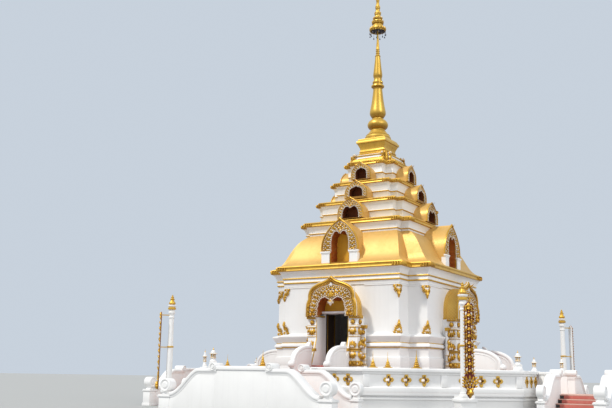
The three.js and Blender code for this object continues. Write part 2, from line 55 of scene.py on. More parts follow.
# Studio: a pale floor, a soft pale sky, a sun from the front left with a weaker and broader one
# from the right, and a camera low on the lawn, to the right of the front stair.
sheet = bmesh.new()
bmesh.ops.create_circle(sheet, cap_ends=True, radius=600, segments=128)
bmesh.ops.translate(sheet, verts=sheet.verts, vec=(0, 0, -0.004))
floor_mesh = bpy.data.meshes.new("studio_floor")
sheet.to_mesh(floor_mesh)
sheet.free()
floor_paint = bpy.data.materials.new("studio_floor")
floor_paint.use_nodes = True
floor_shader = floor_paint.node_tree.nodes["Principled BSDF"]
floor_shader.inputs["Base Color"].default_value = (0.4, 0.4, 0.39, 1)
floor_shader.inputs["Roughness"].default_value = 0.9
floor_mesh.materials.append(floor_paint)
floor = bpy.data.objects.new("studio_floor", floor_mesh)
bpy.context.scene.collection.objects.link(floor)
floor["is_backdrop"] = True

sky = bpy.data.worlds.new("studio_sky")
sky.use_nodes = True
sky.node_tree.nodes["Background"].inputs["Color"].default_value = (0.8, 0.89, 1.0, 1)
sky.node_tree.nodes["Background"].inputs["Strength"].default_value = 0.72
bpy.context.scene.world = sky
bpy.context.scene.view_settings.view_transform = "Standard"


def sun(name, strength, spread, toward, colour):
    lamp = bpy.data.lights.new(name, "SUN")
    lamp.energy = strength
    lamp.angle = math.radians(spread)
    lamp.color = colour
    holder = bpy.data.objects.new(name, lamp)
    holder.rotation_euler = Vector(toward).to_track_quat("Z", "Y").to_euler()
    bpy.context.scene.collection.objects.link(holder)


sun("key_sun", 2.35, 5, (-0.45, -0.85, 1.15), (1.0, 0.97, 0.9))
sun("fill_sun", 1.1, 30, (1.0, -0.35, 0.7), (1.0, 0.97, 0.92))

yaw, pitch, roll = -0.54682, 0.199399, 0.016576
ahead = Vector((math.sin(yaw) * math.cos(pitch), math.cos(yaw) * math.cos(pitch), math.sin(pitch)))
across = Vector((math.cos(yaw), -math.sin(yaw), 0))
upward = across.cross(ahead)
view_x = math.cos(roll) * across + math.sin(roll) * upward
view_y = math.cos(roll) * upward - math.sin(roll) * across
lens = bpy.data.cameras.new("camera")
lens.lens, lens.sensor_width, lens.clip_end = 50, 36, 2000
camera = bpy.data.objects.new("camera", lens)
eye = Matrix.Translation((17.959, -36.175, 1.564))
camera.matrix_world = eye @ Matrix((view_x, view_y, -ahead)).transposed().to_4x4()
bpy.context.scene.collection.objects.link(camera)
bpy.context.scene.camera = camera


# Terrace: an eight-sided walled platform of brick and cement plaster, limewashed white, with a
# ledge and a sunk line under the parapet, and a floor of square red cement tiles.
def node(tree, kind, wires, **settings):
    made = tree.nodes.new(kind)
    for key, value in settings.items():
        setattr(made, key, value)
    for socket, source in wires.items():
        if isinstance(source, bpy.types.NodeSocket):
            tree.links.new(source, made.inputs[socket])
        else:
            made.inputs[socket].default_value = source
    return made


def mixed(tree, amount, first, second):
    return node(tree, "ShaderNodeMix", {0: amount, 6: first, 7: second}, data_type="RGBA").outputs[2]


def spread(tree, value, low, high, to_low=0.0, to_high=1.0):
    return node(tree, "ShaderNodeMapRange", {0: value, 1: low, 2: high, 3: to_low, 4: to_high}).outputs[0]


def maths(tree, operation, first, second=0.0, **settings):
    return node(tree, "ShaderNodeMath", {0: first, 1: second}, operation=operation, **settings).outputs[0]


def noise(tree, place, scale, detail, roughness=0.5):
    wires = {"Vector": place, "Scale": scale, "Detail": detail, "Roughness": roughness}
    return node(tree, "ShaderNodeTexNoise", wires).outputs[0]


def new_group(name, inputs, outputs):
    group = bpy.data.node_groups.new(name, "ShaderNodeTree")
    for label, value in inputs.items():
        kind = "NodeSocketColor" if isinstance(value, tuple) else "NodeSocketFloat"
        group.interface.new_socket(name=label, in_out="INPUT", socket_type=kind).default_value = value
    for label in outputs:
        kind = "NodeSocketColor" if label == "Colour" else "NodeSocketFloat"
        group.interface.new_socket(name=label, in_out="OUTPUT", socket_type=kind)
    return group, group.nodes.new("NodeGroupInput"), group.nodes.new("NodeGroupOutput")


def weathered_and_shaded_paint():
    """Paint with soft blotches, rain streaks and painted shade on whatever faces down."""
    group, given, out = new_group(
        "weathered_and_shaded_paint",
        {"Paint": (0.8, 0.8, 0.8, 1), "Stain_And_Shade": (0.4, 0.4, 0.4, 1), "Amount": 0.3, "Rough": 0.6,
         "Grain": 40.0, "Underside_Shade": 0.0},
        ("Colour", "Roughness", "Height"),
    )
    paint, stain_and_shade, share, base, fineness, shade_strength = given.outputs[:6]
    surface = node(group, "ShaderNodeTexCoord", {})
    place = surface.outputs["Object"]
    drawn = node(group, "ShaderNodeMapping", {"Vector": place, "Scale": (2.6, 2.6, 0.16)}).outputs[0]
    patches = noise(group, place, 0.9, 6.0, 0.62)
    runs = noise(group, drawn, 2.2, 4.0, 0.6)
    grain = noise(group, place, fineness, 3.0)
    blotch, streak = spread(group, patches, 0.42, 0.72), spread(group, runs, 0.5, 0.78)
    facing = node(group, "ShaderNodeSeparateXYZ", {0: surface.outputs["Normal"]}).outputs["Z"]
    # Faces that look down are darkened towards the stain colour: painted shade under ledges and bulges.
    underside_shade = maths(group, "MULTIPLY", spread(group, facing, -0.7, 0.25, 1.0, 0.0), shade_strength)
    amount = maths(group, "MULTIPLY", maths(group, "ADD", blotch, streak), share)
    amount = maths(group, "ADD", amount, underside_shade, use_clamp=True)
    speckle = spread(group, grain, 0.3, 0.7, -0.06, 0.06)
    rough = maths(group, "ADD", maths(group, "ADD", base, speckle), maths(group, "MULTIPLY", blotch, 0.08))
    group.links.new(mixed(group, amount, paint, stain_and_shade), out.inputs["Colour"])
    group.links.new(rough, out.inputs["Roughness"])
    group.links.new(maths(group, "ADD", grain, patches), out.inputs["Height"])
    return group


PAINT = weathered_and_shaded_paint()


def painted(name, paint, stain_and_shade, amount, rough, metallic=0.0, grain=40.0, bump=0.12, underside_shade=0.0):
    """A painted surface: mottled, streaked, darkened underneath as painted shade and a little rough to the
    touch.
    """
    finish = bpy.data.materials.new(name)
    finish.use_nodes = True
    tree = finish.node_tree
    shader = tree.nodes["Principled BSDF"]
    shader.inputs["Metallic"].default_value = metallic
    wear_and_shade = tree.nodes.new("ShaderNodeGroup")
    wear_and_shade.node_tree = PAINT
    for socket, value in zip(wear_and_shade.inputs, ((*paint, 1), (*stain_and_shade, 1), amount, rough, grain, underside_shade)):
        socket.default_value = value
    height = wear_and_shade.outputs["Height"]
    dents = node(tree, "ShaderNodeBump", {"Height": height, "Strength": bump, "Distance": 0.004})
    tree.links.new(wear_and_shade.outputs["Colour"], shader.inputs["Base Color"])
    tree.links.new(wear_and_shade.outputs["Roughness"], shader.inputs["Roughness"])
    tree.links.new(dents.outputs["Normal"], shader.inputs["Normal"])
    return finish


def tiled(name, paint, joint, size):
    """Square cement tiles with worn faces and grey joints."""
    finish = painted(name, paint, tuple(0.6 * c for c in paint), 0.25, 0.6)
    tree = finish.node_tree
    shader = tree.nodes["Principled BSDF"]
    place = node(tree, "ShaderNodeTexCoord", {}).outputs["Object"]
    tiles = node(
        tree,
        "ShaderNodeTexBrick",
        {"Vector": place, "Color1": (1, 1, 1, 1), "Color2": (0.8, 0.8, 0.8, 1), "Mortar": (0, 0, 0, 1),
         "Scale": 1.0, "Mortar Size": 0.008, "Brick Width": size, "Row Height": size},
        offset=0.0,
    )
    plain = shader.inputs["Base Color"].links[0].from_socket
    tinted = node(
        tree, "ShaderNodeMix", {0: 0.35, 6: plain, 7: tiles.outputs["Color"]}, data_type="RGBA",
        blend_type="MULTIPLY",
    ).outputs[2]
    jointed = mixed(tree, tiles.outputs["Fac"], tinted, (*joint, 1))
    tree.links.new(jointed, shader.inputs["Base Color"])
    return finish


def raise_rings(bm, rings, marks=None, closed=True):
    """A wall that climbs ring by ring. marks gives each band of it a finish."""
    ring = [bm.verts.new(point) for point in rings[0]]
    edges = [bm.edges.new(pair) for pair in zip(ring, ring[1:] + ring[:1])]
    made_faces = [bm.faces.new(ring[::-1])] if closed else []
    for level, points in enumerate(rings[1:]):
        made = bmesh.ops.extrude_edge_only(bm, edges=edges)["geom"]
        fresh = {part for part in made if isinstance(part, bmesh.types.BMVert)}
        above = []
        for vert in ring:
            (top,) = [e.other_vert(vert) for e in vert.link_edges if e.other_vert(vert) in fresh]
            above.append(top)
        for top, point in zip(above, points):
            top.co = point
        for face in (part for part in made if isinstance(part, bmesh.types.BMFace)):
            face.material_index = marks[level] if marks else 0
            made_faces.append(face)
        ring = above
        edges = [bm.edges.get(pair) for pair in zip(ring, ring[1:] + ring[:1])]
    if closed:
        made_faces.append(bm.faces.new(ring))
        made_faces[-1].material_index = marks[-1] if marks else 0
    return made_faces


def soften(bm, width, segments=2, least=30):
    """Rounds the arrises that turn by more than least degrees."""
    sharp = [e for e in bm.edges if len(e.link_faces) == 2 and e.calc_face_angle() > math.radians(least)]
    bmesh.ops.bevel(
        bm, geom=sharp, offset=width, offset_type="OFFSET", segments=segments, profile=0.5,
        affect="EDGES", clamp_overlap=True, material=-1,
    )


def finished(name, bm, finishes, stands_for=(), body="building", merge=0.0002, smooth=38):
    """Turns the mesh into a named piece of the building."""
    if merge:
        bmesh.ops.remove_doubles(bm, verts=bm.verts, dist=merge)
    bmesh.ops.recalc_face_normals(bm, faces=bm.faces)
    for face in bm.faces:
        face.smooth = True
    for edge in bm.edges:
        edge.smooth = len(edge.link_faces) == 2 and edge.calc_face_angle() < math.radians(smooth)
    mesh = bpy.data.meshes.new(name)
    bm.to_mesh(mesh)
    bm.free()
    for finish in finishes:
        mesh.materials.append(finish)
    piece = bpy.data.objects.new(name, mesh)
    bpy.context.scene.collection.objects.link(piece)
    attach(piece, body)
    if stands_for:
        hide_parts(*stands_for)
    return piece


SIDES = ("front", "right", "back", "left")


def four_times(name, bm, finishes, stands_for=(), names=SIDES, merge=0.0002, smooth=38):
    """The same piece on each of the four sides or corners, a quarter turn apart."""
    for quarter, side in enumerate(names):
        turned_copy = bm.copy()
        turn = Matrix.Rotation(quarter * math.pi / 2, 4, "Z")
        bmesh.ops.transform(turned_copy, matrix=turn, verts=turned_copy.verts)
        nodes = [stem + side for stem in stands_for]
        finished(name + "_" + side, turned_copy, finishes, nodes, merge=merge, smooth=smooth)
    bm.free()


plaster = painted("white_plaster", (0.83, 0.82, 0.81), (0.5, 0.48, 0.47), 0.09, 0.62, grain=55.0)
red_tiles = tiled("terrace_tiles", (0.45, 0.3, 0.26), (0.47, 0.44, 0.42), 0.3)
APOTHEM, FLOOR = 7.78, 1.0    # centre to the face of the terrace wall, and the floor's height


def octagon(apothem, z):
    radius = apothem / math.cos(math.pi / 8)
    turns = [k * math.pi / 8 for k in range(1, 17, 2)]
    return [(radius * math.cos(turn), radius * math.sin(turn), z) for turn in turns]


platform = bmesh.new()
levels = [(0, 0), (0.1, 0), (0.74, 0), (0.75, 0.05), (0.82, 0.05), (0.83, -0.03), (0.88, -0.03), (0.9, 0.08),
          (FLOOR, 0.08)]
raise_rings(platform, [octagon(APOTHEM + out, z) for z, out in levels])
for face in platform.faces:
    if face.calc_center_median().z > FLOOR - 0.01:
        face.material_index = 1
soften(platform, 0.01)
finished("terrace", platform, [plaster, red_tiles], ["terrace_platform"])


# Stairs: on each side two short flights climb to one landing from left and right. They are built
# of brick and plaster, with red cement risers that end in a near-black patch of painted shadow at
# the inner rail, and paler treads worn by feet, which overhang the risers a little.
def pushed(bm, outline, start, end, mark=0, along="Y"):
    """An outline in (side, height) points, pushed along Y or X into a block."""
    to_place = (lambda a, z: (a, start, z)) if along == "Y" else (lambda a, z: (start, a, z))
    base = bm.faces.new([bm.verts.new(to_place(a, z)) for a, z in outline])
    made = bmesh.ops.extrude_face_region(bm, geom=[base])["geom"]
    far = [part for part in made if isinstance(part, bmesh.types.BMVert)]
    shift = (0, end - start, 0) if along == "Y" else (end - start, 0, 0)
    bmesh.ops.translate(bm, verts=far, vec=shift)
    for face in {face for vert in far for face in vert.link_faces} | {base}:
        face.material_index = mark


def block(bm, low, high, mark=0):
    centre = [(a + b) / 2 for a, b in zip(low, high)]
    size = [b - a for a, b in zip(low, high)]
    matrix = Matrix.Translation(centre) @ Matrix.Diagonal((*size, 1))
    verts = bmesh.ops.create_cube(bm, size=1, matrix=matrix)["verts"]
    for face in {face for vert in verts for face in vert.link_faces}:
        face.material_index = mark


def mirrored(bm):
    """Adds the other half, a mirror of all that is there."""
    parts = bm.verts[:] + bm.edges[:] + bm.faces[:]
    copy = bmesh.ops.duplicate(bm, geom=parts)["geom"]
    verts = [part for part in copy if isinstance(part, bmesh.types.BMVert)]
    bmesh.ops.scale(bm, vec=(-1, 1, 1), verts=verts)
    bmesh.ops.reverse_faces(bm, faces=[part for part in copy if isinstance(part, bmesh.types.BMFace)])


RISER, TREAD, LANDING = 1 / 6, 0.33, 1.35    # the last is half of the landing's width
STEPS = 5
TREAD_OUT, TREAD_IN, SHADOW_FROM = -10.53, -8.71, -8.86
NOSING = 0.038
UNDER_LANDING = FLOOR - NOSING
red_cement = painted("red_cement", (0.5, 0.12, 0.095), (0.58, 0.27, 0.22), 0.35, 0.66, grain=30.0, bump=0.25)
worn_cement = painted("worn_cement", (0.62, 0.37, 0.3), (0.72, 0.56, 0.48), 0.4, 0.72, grain=24.0, bump=0.2)
# Near-black cement at the inner end of each riser: a painted shadow.
shadow_painted_cement = painted("shadow_painted_cement", (0.035, 0.032, 0.03), (0.11, 0.1, 0.09), 0.3, 0.8)

flights = bmesh.new()
outline = []
for step in range(STEPS):
    reach = LANDING + TREAD * (STEPS - step) - 0.03
    outline += [(reach, RISER * step), (reach, RISER * (step + 1) - 0.04)]
outline += [(LANDING - 0.1, RISER * STEPS - 0.04), (LANDING - 0.1, 0.0)]
pushed(flights, outline, TREAD_OUT + 0.02, TREAD_IN + 0.01)
mirrored(flights)
block(flights, (0.1 - LANDING, TREAD_OUT + 0.02, 0), (LANDING - 0.1, -7.86, 0.955))
soften(flights, 0.006)
four_times("stair_flights", flights, [plaster], ["stair_"])


def riser(bm, reach, low, high):
    """A red riser under a nosing at reach, with a near-black patch of painted shadow at its inner end."""
    block(bm, (reach - 0.045, TREAD_OUT, low), (reach - 0.008, SHADOW_FROM, high))
    block(bm, (reach - 0.045, SHADOW_FROM, low), (reach - 0.012, TREAD_IN, high), 2)


treads = bmesh.new()
for step in range(STEPS):
    reach = LANDING + TREAD * (STEPS - step)
    top = RISER * (step + 1)
    back = reach - TREAD - 0.03 if step < STEPS - 1 else LANDING - 0.11
    block(treads, (back, TREAD_OUT, top - NOSING), (reach, TREAD_IN, top), 1)
    riser(treads, reach, top - RISER, top - NOSING)
riser(treads, LANDING, RISER * STEPS, UNDER_LANDING)
mirrored(treads)
block(treads, (-LANDING, TREAD_OUT, UNDER_LANDING), (LANDING, -7.87, FLOOR), 1)
soften(treads, 0.012, 3)
four_times("stair_treads", treads, [red_cement, worn_cement, shadow_painted_cement])


# Stair rails: white plastered walls between and beside the flights. Their thick rounded coping
# runs level, sweeps down in an S to a square newel, and ends in round scrolls.
def swept(bm, section, path, mark=0):
    """A closed section of (across, up) points carried along an upright path of (side, height)."""
    rings = []
    for k, (x, z) in enumerate(path):
        before, after = path[max(k - 1, 0)], path[min(k + 1, len(path) - 1)]
        run = Vector((after[0] - before[0], after[1] - before[1])).normalized()
        rings.append([(x - run.y * up, y, z + run.x * up) for y, up in section])
    for face in raise_rings(bm, rings):
        face.material_index = mark


def scroll(bm, x, z, radius, near, far):
    """A round scroll head with a spiral roll sunk in both faces."""
    matrix = Matrix.Translation((x, (near + far) / 2, z)) @ Matrix.Rotation(math.pi / 2, 4, "X")
    made = bmesh.ops.create_cone(
        bm, cap_ends=True, segments=32, radius1=radius, radius2=radius, depth=far - near, matrix=matrix
    )["verts"]
    ends = [face for face in {f for v in made for f in v.link_faces} if len(face.verts) > 4]
    for inset, rise in ((0.1, 0.02), (0.1, 0.0), (0.14, -0.035), (0.1, 0.0), (0.16, 0.035)):
        bmesh.ops.inset_region(bm, faces=ends, thickness=radius * inset, depth=rise, use_even_offset=True)


RAIL_TOP, POST_IN = 1.79, 3.24     # height of the level coping, and the near side of the newel
CURVE_IN, CURVE_RUN = 1.9, 1.34    # where the coping starts to sweep down, and its length


def rail_height(x):
    t = min(max((x - CURVE_IN) / CURVE_RUN, 0), 1)
    return RAIL_TOP - 0.89 * t * t * (3 - 2 * t)


def newel(bm, low, high, near, far, cap):
    """Square post with a base, a moulded cap and a neck that carries the scroll."""
    for z0, z1, out in ((0, 0.12, 0.03), (0.12, 0.16, 0.015), (0.16, cap - 0.12, 0.0),
                        (cap - 0.12, cap - 0.09, 0.02), (cap - 0.09, cap - 0.03, 0.04),
                        (cap - 0.03, cap, 0.02)):
        block(bm, (low - out, near - out, z0), (high + out, far + out, z1))
    middle, centre, deep = (low + high) / 2, (near + far) / 2, (far - near) * 0.31
    y0, y1 = centre - deep, centre + deep
    neck = []
    for up, wide in ((0, 0.19), (0.02, 0.16), (0.05, 0.11), (0.09, 0.1), (0.13, 0.13), (0.2, 0.17)):
        x0, x1, z = middle - wide, middle + wide, cap + up
        neck.append([(x0, y0, z), (x1, y0, z), (x1, y1, z), (x0, y1, z)])
    raise_rings(bm, neck)


def rail(bm, start, near, far, post_end, inset, cap):
    """One arm: wall, coping and a newel that stands in by inset from the sides of the coping."""
    sweep = [CURVE_IN + CURVE_RUN * k / 22 for k in range(23)]
    path = [(start, RAIL_TOP), (1.6, RAIL_TOP)] + [(x, rail_height(x)) for x in sweep]
    wall = [(start, 0.0), (POST_IN, 0.0)] + [(x, z - 0.12) for x, z in reversed(path)]
    pushed(bm, wall, near + 0.05, far - 0.05)
    lip = [(near, -0.13), (near, -0.05), (near + 0.03, -0.015), (near + 0.09, 0.0), (far - 0.09, 0.0),
           (far - 0.03, -0.015), (far, -0.05), (far, -0.13), (far - 0.035, -0.14), (far - 0.035, -0.215),
           (near + 0.035, -0.215), (near + 0.035, -0.14)]
    swept(bm, lip, [(start - 0.02, RAIL_TOP)] + path[1:])
    newel(bm, POST_IN, post_end, near + inset, far - inset, cap)


inner_rail = bmesh.new()
rail(inner_rail, 1.12, -8.75, -8.35, 3.54, 0.05, 0.78)
for out, near, low, high in ((0.0, -8.4, 0.0, 1.75), (0.015, -8.38, 1.72, 1.76), (0.03, -8.38, 1.76, 1.87)):
    block(inner_rail, (1.09 - out, near, low), (1.35 + out, -7.8903, high))
mirrored(inner_rail)
soften(inner_rail, 0.012)
for side in (1, -1):
    scroll(inner_rail, side * 3.39, 1.12, 0.25, -8.67, -8.43)
    scroll(inner_rail, side * 1.17, 1.84, 0.14, -8.765, -8.335)
four_times("stair_rail", inner_rail, [plaster])

outer_wall = bmesh.new()
rail(outer_wall, 1.1, -11.0, -10.5, 3.74, 0.04, 0.8)
mirrored(outer_wall)
block(outer_wall, (-1.15, -10.96, 0), (1.15, -10.54, 1.8))
soften(outer_wall, 0.012)
level_lip = [(-11.0, -0.13), (-11.0, -0.05), (-10.97, -0.015), (-10.9, 0), (-10.6, 0), (-10.53, -0.015),
             (-10.5, -0.05), (-10.5, -0.13)]
swept(outer_wall, level_lip, [(x, 1.87) for x in (-1.17, -0.4, 0.4, 1.17)])
for side in (1, -1):
    scroll(outer_wall, side * 3.49, 1.14, 0.25, -10.94, -10.56)
    scroll(outer_wall, side * 1.23, 1.84, 0.14, -11.015, -10.485)
four_times("stair_outer_wall", outer_wall, [plaster], ["stair_wall_"])


# Parapets: four low walls round the terrace between the stair gates, with a stepped coping,
# flat pilasters and four-lobed windows cut through, each lined with a gold-painted frame.
CORNERS = ("front_right", "back_right", "back_left", "front_left")
COPING_TOP, COPING_MIDDLE = 1.9, 7.685    # height, and distance from the centre of the terrace
WINDOW_HEIGHT = 1.47


def copied(solid):
    """The shape of a solid, with its flat faces made whole again."""
    bm = bmesh.new()
    bm.from_mesh(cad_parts[solid].data)
    bmesh.ops.remove_doubles(bm, verts=bm.verts, dist=0.0001)
    bmesh.ops.dissolve_limit(bm, angle_limit=math.radians(0.5), verts=bm.verts, edges=bm.edges)
    bm.verts.ensure_lookup_table()
    for face in bm.faces:
        face.material_index = 0
    return bm


def cut_level(bm, z):
    """Cuts away what stands above a height, and closes the cut."""
    parts = bm.verts[:] + bm.edges[:] + bm.faces[:]
    cut = bmesh.ops.bisect_plane(
        bm, geom=parts, dist=0.0002, plane_co=(0, 0, z), plane_no=(0, 0, 1), clear_outer=True
    )
    rim = [part for part in cut["geom_cut"] if isinstance(part, bmesh.types.BMEdge)]
    bmesh.ops.holes_fill(bm, edges=rim, sides=0)


def turned(bm, angle, verts=None):
    """Turns the shape, or some of its points, about the middle of the building."""
    bmesh.ops.rotate(bm, verts=verts or bm.verts, cent=(0, 0, 0), matrix=Matrix.Rotation(angle, 3, "Z"))


def quatrefoil(x, z, width, height):
    lobe = ((0.27, -0.27), (0.52, -0.37), (0.8, -0.33), (0.93, -0.16), (1.02, 0.0), (0.93, 0.16), (0.8, 0.33),
            (0.52, 0.37))
    points = []
    for c, s in ((1, 0), (0, 1), (-1, 0), (0, -1)):
        points += [(x + (c * u - s * v) * width / 2, z + (s * u + c * v) * height / 2) for u, v in lobe]
    return points


# Gold paint; its faces that look down are darkened as painted shade.
gold = painted(
    "gold_paint", (0.75, 0.46, 0.07), (0.42, 0.21, 0.02), 0.4, 0.36, metallic=0.45, grain=24.0, underside_shade=0.6
)
parapet = copied("parapet_front_right")
cut_level(parapet, COPING_TOP - 0.001)
soften(parapet, 0.008)
four_times("parapet", parapet, [plaster], ["parapet_"], names=CORNERS)

window_frames = bmesh.new()
straight, slanting = (1.47, 2.05, 2.63), (0.8, 1.51, 2.21)
centres = [(x, 0.0) for x in straight] + [(side * x, math.pi / 4) for x in slanting for side in (1, -1)]
centres += [(-x, math.pi / 2) for x in straight]
for along, turn in centres:
    start = len(window_frames.verts)
    for near, far in ((-7.805, -7.74), (-7.6, -7.545)):
        rings = []
        for y, width, height in ((near, 0.41, 0.47), (near - 0.004, 0.32, 0.38), (near, 0.235, 0.29),
                                 (far, 0.235, 0.29), (far, 0.41, 0.47), (near, 0.41, 0.47)):
            rings.append([(x, y, z) for x, z in quatrefoil(along, WINDOW_HEIGHT, width, height)])
        raise_rings(window_frames, rings, closed=False)
    window_frames.verts.ensure_lookup_table()
    turned(window_frames, turn, window_frames.verts[start:])
four_times("window_frames", window_frames, [gold], names=CORNERS)


# Small finials: cast cement chedis with ringed spires, all gold, and little lanterns with a gold
# cage under a white tiered cap, bedded in mortar along the parapet coping.
def lathed(bm, profile, at=(0, 0, 0), steps=28, marks=None):
    """A profile of (radius, height) points spun about an upright axis. marks gives each band a finish."""
    points = [bm.verts.new((at[0] + radius, at[1], at[2] + z)) for radius, z in profile]
    edges = [bm.edges.new(pair) for pair in zip(points, points[1:])]
    before = set(bm.faces)
    bmesh.ops.spin(
        bm, geom=points + edges, cent=at, axis=(0, 0, 1), angle=2 * math.pi, steps=steps, use_merge=True
    )
    if not marks:
        return
    bands = [(at[2] + (a[1] + b[1]) / 2, (a[0] + b[0]) / 2) for a, b in zip(profile, profile[1:])]
    for face in set(bm.faces) - before:
        middle = face.calc_center_median()
        radius = math.hypot(middle.x - at[0], middle.y - at[1])
        gaps = [abs(z - middle.z) + abs(reach - radius) for z, reach in bands]
        face.material_index = marks[gaps.index(min(gaps))]


def slab(bm, at, half, top, mark=0):
    """A square foot, bedded 20 mm deep in the coping."""
    block(bm, (at[0] - half, at[1] - half, at[2] - 0.02), (at[0] + half, at[1] + half, at[2] + top), mark)


def small_chedi(bm, at, height, rings):
    tall, wide = height / 0.6, 0.7 * height / 0.6
    slab(bm, at, 0.19 * wide, 0.025 * tall, 1)
    profile = [(0.17, 0.025), (0.17, 0.045), (0.125, 0.06)]
    radius, z = 0.15, 0.07
    for _ in range(rings + 2):
        profile += [(radius * 0.72, z), (radius, z + 0.018), (radius * 0.93, z + 0.036),
                    (radius * 0.66, z + 0.05)]
        radius, z = radius * 0.78, z + 0.054
    profile += [(radius * 0.6, z + 0.01), (0.012, z + 0.12), (0.008, 0.55), (0.0, 0.6)]
    lathed(bm, [(radius * wide, z * tall) for radius, z in profile], at, 20, [1] * (len(profile) - 1))


def small_lantern(bm, at, height, size, mound=0.0):
    """An open lantern with six gold columns, on a stand. mound is the height of a white hump below it."""
    if mound:
        hump = ((0.0, -0.02), (0.2, -0.02), (0.195, 0.3 * mound), (0.17, 0.65 * mound), (0.12, 0.9 * mound),
                (0.0, mound))
        lathed(bm, hump, at, 24)
    slab(bm, at, 0.15 * size, 0.06 * height / 0.72 + mound)
    at = (at[0], at[1], at[2] + mound)
    grown = (height - mound) / 0.72

    def scaled(profile):
        return [(radius * size, z * grown) for radius, z in profile]

    body = [(0.16, 0.06), (0.15, 0.1), (0.11, 0.13), (0.1, 0.2), (0.135, 0.215), (0.14, 0.235), (0.12, 0.25),
            (0.07, 0.251), (0.07, 0.395), (0.12, 0.396), (0.19, 0.405), (0.19, 0.42), (0.12, 0.455),
            (0.1, 0.465), (0.125, 0.485), (0.09, 0.51), (0.075, 0.52), (0.09, 0.535), (0.05, 0.57),
            (0.035, 0.585), (0.045, 0.6), (0.016, 0.63), (0.01, 0.68), (0.0, 0.72)]
    lathed(bm, scaled(body), at, 20, [0] * 4 + [1] + [0] * 4 + [1] * 2 + [0] * 8 + [1] * 4)
    column = [(0.0, 0.24), (0.026, 0.245), (0.026, 0.26), (0.014, 0.275), (0.013, 0.36), (0.026, 0.385),
              (0.0, 0.398)]
    for k in range(6):
        x, y = at[0] + 0.1 * size * math.cos(k * math.pi / 3), at[1] + 0.1 * size * math.sin(k * math.pi / 3)
        lathed(bm, scaled(column), (x, y, at[2]), 6, [1] * 6)


# Each corner: what stands on its slanting part, and on its straight part to the left of it.
chedi_row = ((small_chedi, -2.78, 0.62, 1), (small_chedi, -2.2, 0.62, 1), (small_chedi, -1.06, 0.7, 3))
full_corner = ((*chedi_row, (small_lantern, 3.12, 0.78, 0.82, 0.16)), ((small_lantern, -1.22, 0.58, 0.65),))
finial_rows = {
    "front_right": full_corner,
    "back_right": (((small_lantern, -3.1, 0.73, 0.6),), ((small_chedi, -1.27, 0.6, 3),)),
    "back_left": full_corner,
    "front_left": (((small_lantern, -3.05, 0.85, 0.62), (small_lantern, -0.15, 0.86, 1.0, 0.16)),
                   ((small_chedi, -1.27, 0.66, 3), (small_chedi, -3.0, 0.5, 1))),
}
for quarter, corner in enumerate(CORNERS):
    on_slant, on_straight = finial_rows[corner]
    finials = bmesh.new()
    for make, along, *sizes in on_slant:
        make(finials, (along, -COPING_MIDDLE, COPING_TOP), *sizes)
    turned(finials, math.pi / 4)
    for make, along, *sizes in on_straight:
        make(finials, (COPING_MIDDLE, along, COPING_TOP), *sizes)
    turned(finials, quarter * math.pi / 2)
    finished("coping_finials_" + corner, finials, [plaster, gold])


# Carved ornament: leaves, rosettes and buds cast in cement from moulds, painted gold, and pressed
# into wet plaster. Each is a low relief with a raised heart.
def relief(name, outline, rise=0.22, rim=0.05, peak=0.1):
    """A flat outline facing -Y, one unit high, raised and crowned. It is closed at the back."""
    bm = bmesh.new()
    flat = bm.faces.new([bm.verts.new((x, 0, z)) for x, z in outline])
    made = bmesh.ops.extrude_face_region(bm, geom=[flat])["geom"]
    (top,) = [part for part in made if isinstance(part, bmesh.types.BMFace)]
    bmesh.ops.translate(bm, verts=top.verts, vec=(0, -rise * 0.55, 0))
    bmesh.ops.inset_region(bm, faces=[top], thickness=rim, depth=rise * 0.3, use_even_offset=False)
    bmesh.ops.poke(bm, faces=[top], offset=peak)
    bmesh.ops.recalc_face_normals(bm, faces=bm.faces)
    mesh = bpy.data.meshes.new(name)
    bm.to_mesh(mesh)
    bm.free()
    return mesh


def halves(right):
    """A whole outline from its right half, bottom to top."""
    return right + [(-x, z) for x, z in reversed(right) if x > 1e-6]


flame = relief("flame", halves([(0.12, 0.0), (0.34, 0.1), (0.4, 0.26), (0.26, 0.36), (0.33, 0.5), (0.2, 0.6),
                                (0.22, 0.72), (0.0, 1.0)]))
leaf = relief("leaf", halves([(0.1, 0.0), (0.3, 0.16), (0.34, 0.38), (0.2, 0.66), (0.0, 1.0)]),
              0.2, 0.06, 0.12)
bud = relief("bud", halves([(0.1, 0.0), (0.36, 0.1), (0.5, 0.32), (0.42, 0.62), (0.2, 0.86), (0.0, 1.0)]),
             0.34, 0.08, 0.2)
diamond = relief("diamond", [(0, -0.5), (0.16, -0.2), (0.38, -0.14), (0.3, 0.0), (0.38, 0.14), (0.16, 0.2),
                             (0, 0.5), (-0.16, 0.2), (-0.38, 0.14), (-0.3, 0.0), (-0.38, -0.14),
                             (-0.16, -0.2)], 0.3, 0.05, 0.14)
petals = []
for k in range(16):
    reach = 0.5 if k % 2 else 0.36
    petals.append((reach * math.cos(k * math.pi / 8), reach * math.sin(k * math.pi / 8)))
rosette = relief("rosette", petals, 0.3, 0.07, 0.16)
curl = relief("curl", [(-0.1, 0.0), (0.18, 0.0), (0.34, 0.2), (0.36, 0.46), (0.26, 0.72), (0.06, 0.9),
                       (-0.2, 1.0), (-0.02, 0.78), (0.06, 0.6), (0.0, 0.5), (-0.14, 0.5), (-0.2, 0.36),
                       (-0.12, 0.24), (0.02, 0.26)],
              0.26, 0.035, 0.1)


def stamp(bm, ornament, at, height, lean=0.0, wide=1.0, mark=0, turn=0.0, deep=1.0):
    """Presses an ornament on a surface that faces -Y, or turned from it about the upright axis."""
    placed = ornament.copy()
    placed.transform(
        Matrix.Translation(at) @ Matrix.Rotation(turn, 4, "Z") @ Matrix.Rotation(-lean, 4, "Y")
        @ Matrix.Diagonal((height * wide, height * deep, height, 1))
    )
    if wide < 0:
        placed.flip_normals()
    for face in placed.polygons:
        face.material_index = mark
    bm.from_mesh(placed)
    bpy.data.meshes.remove(placed)


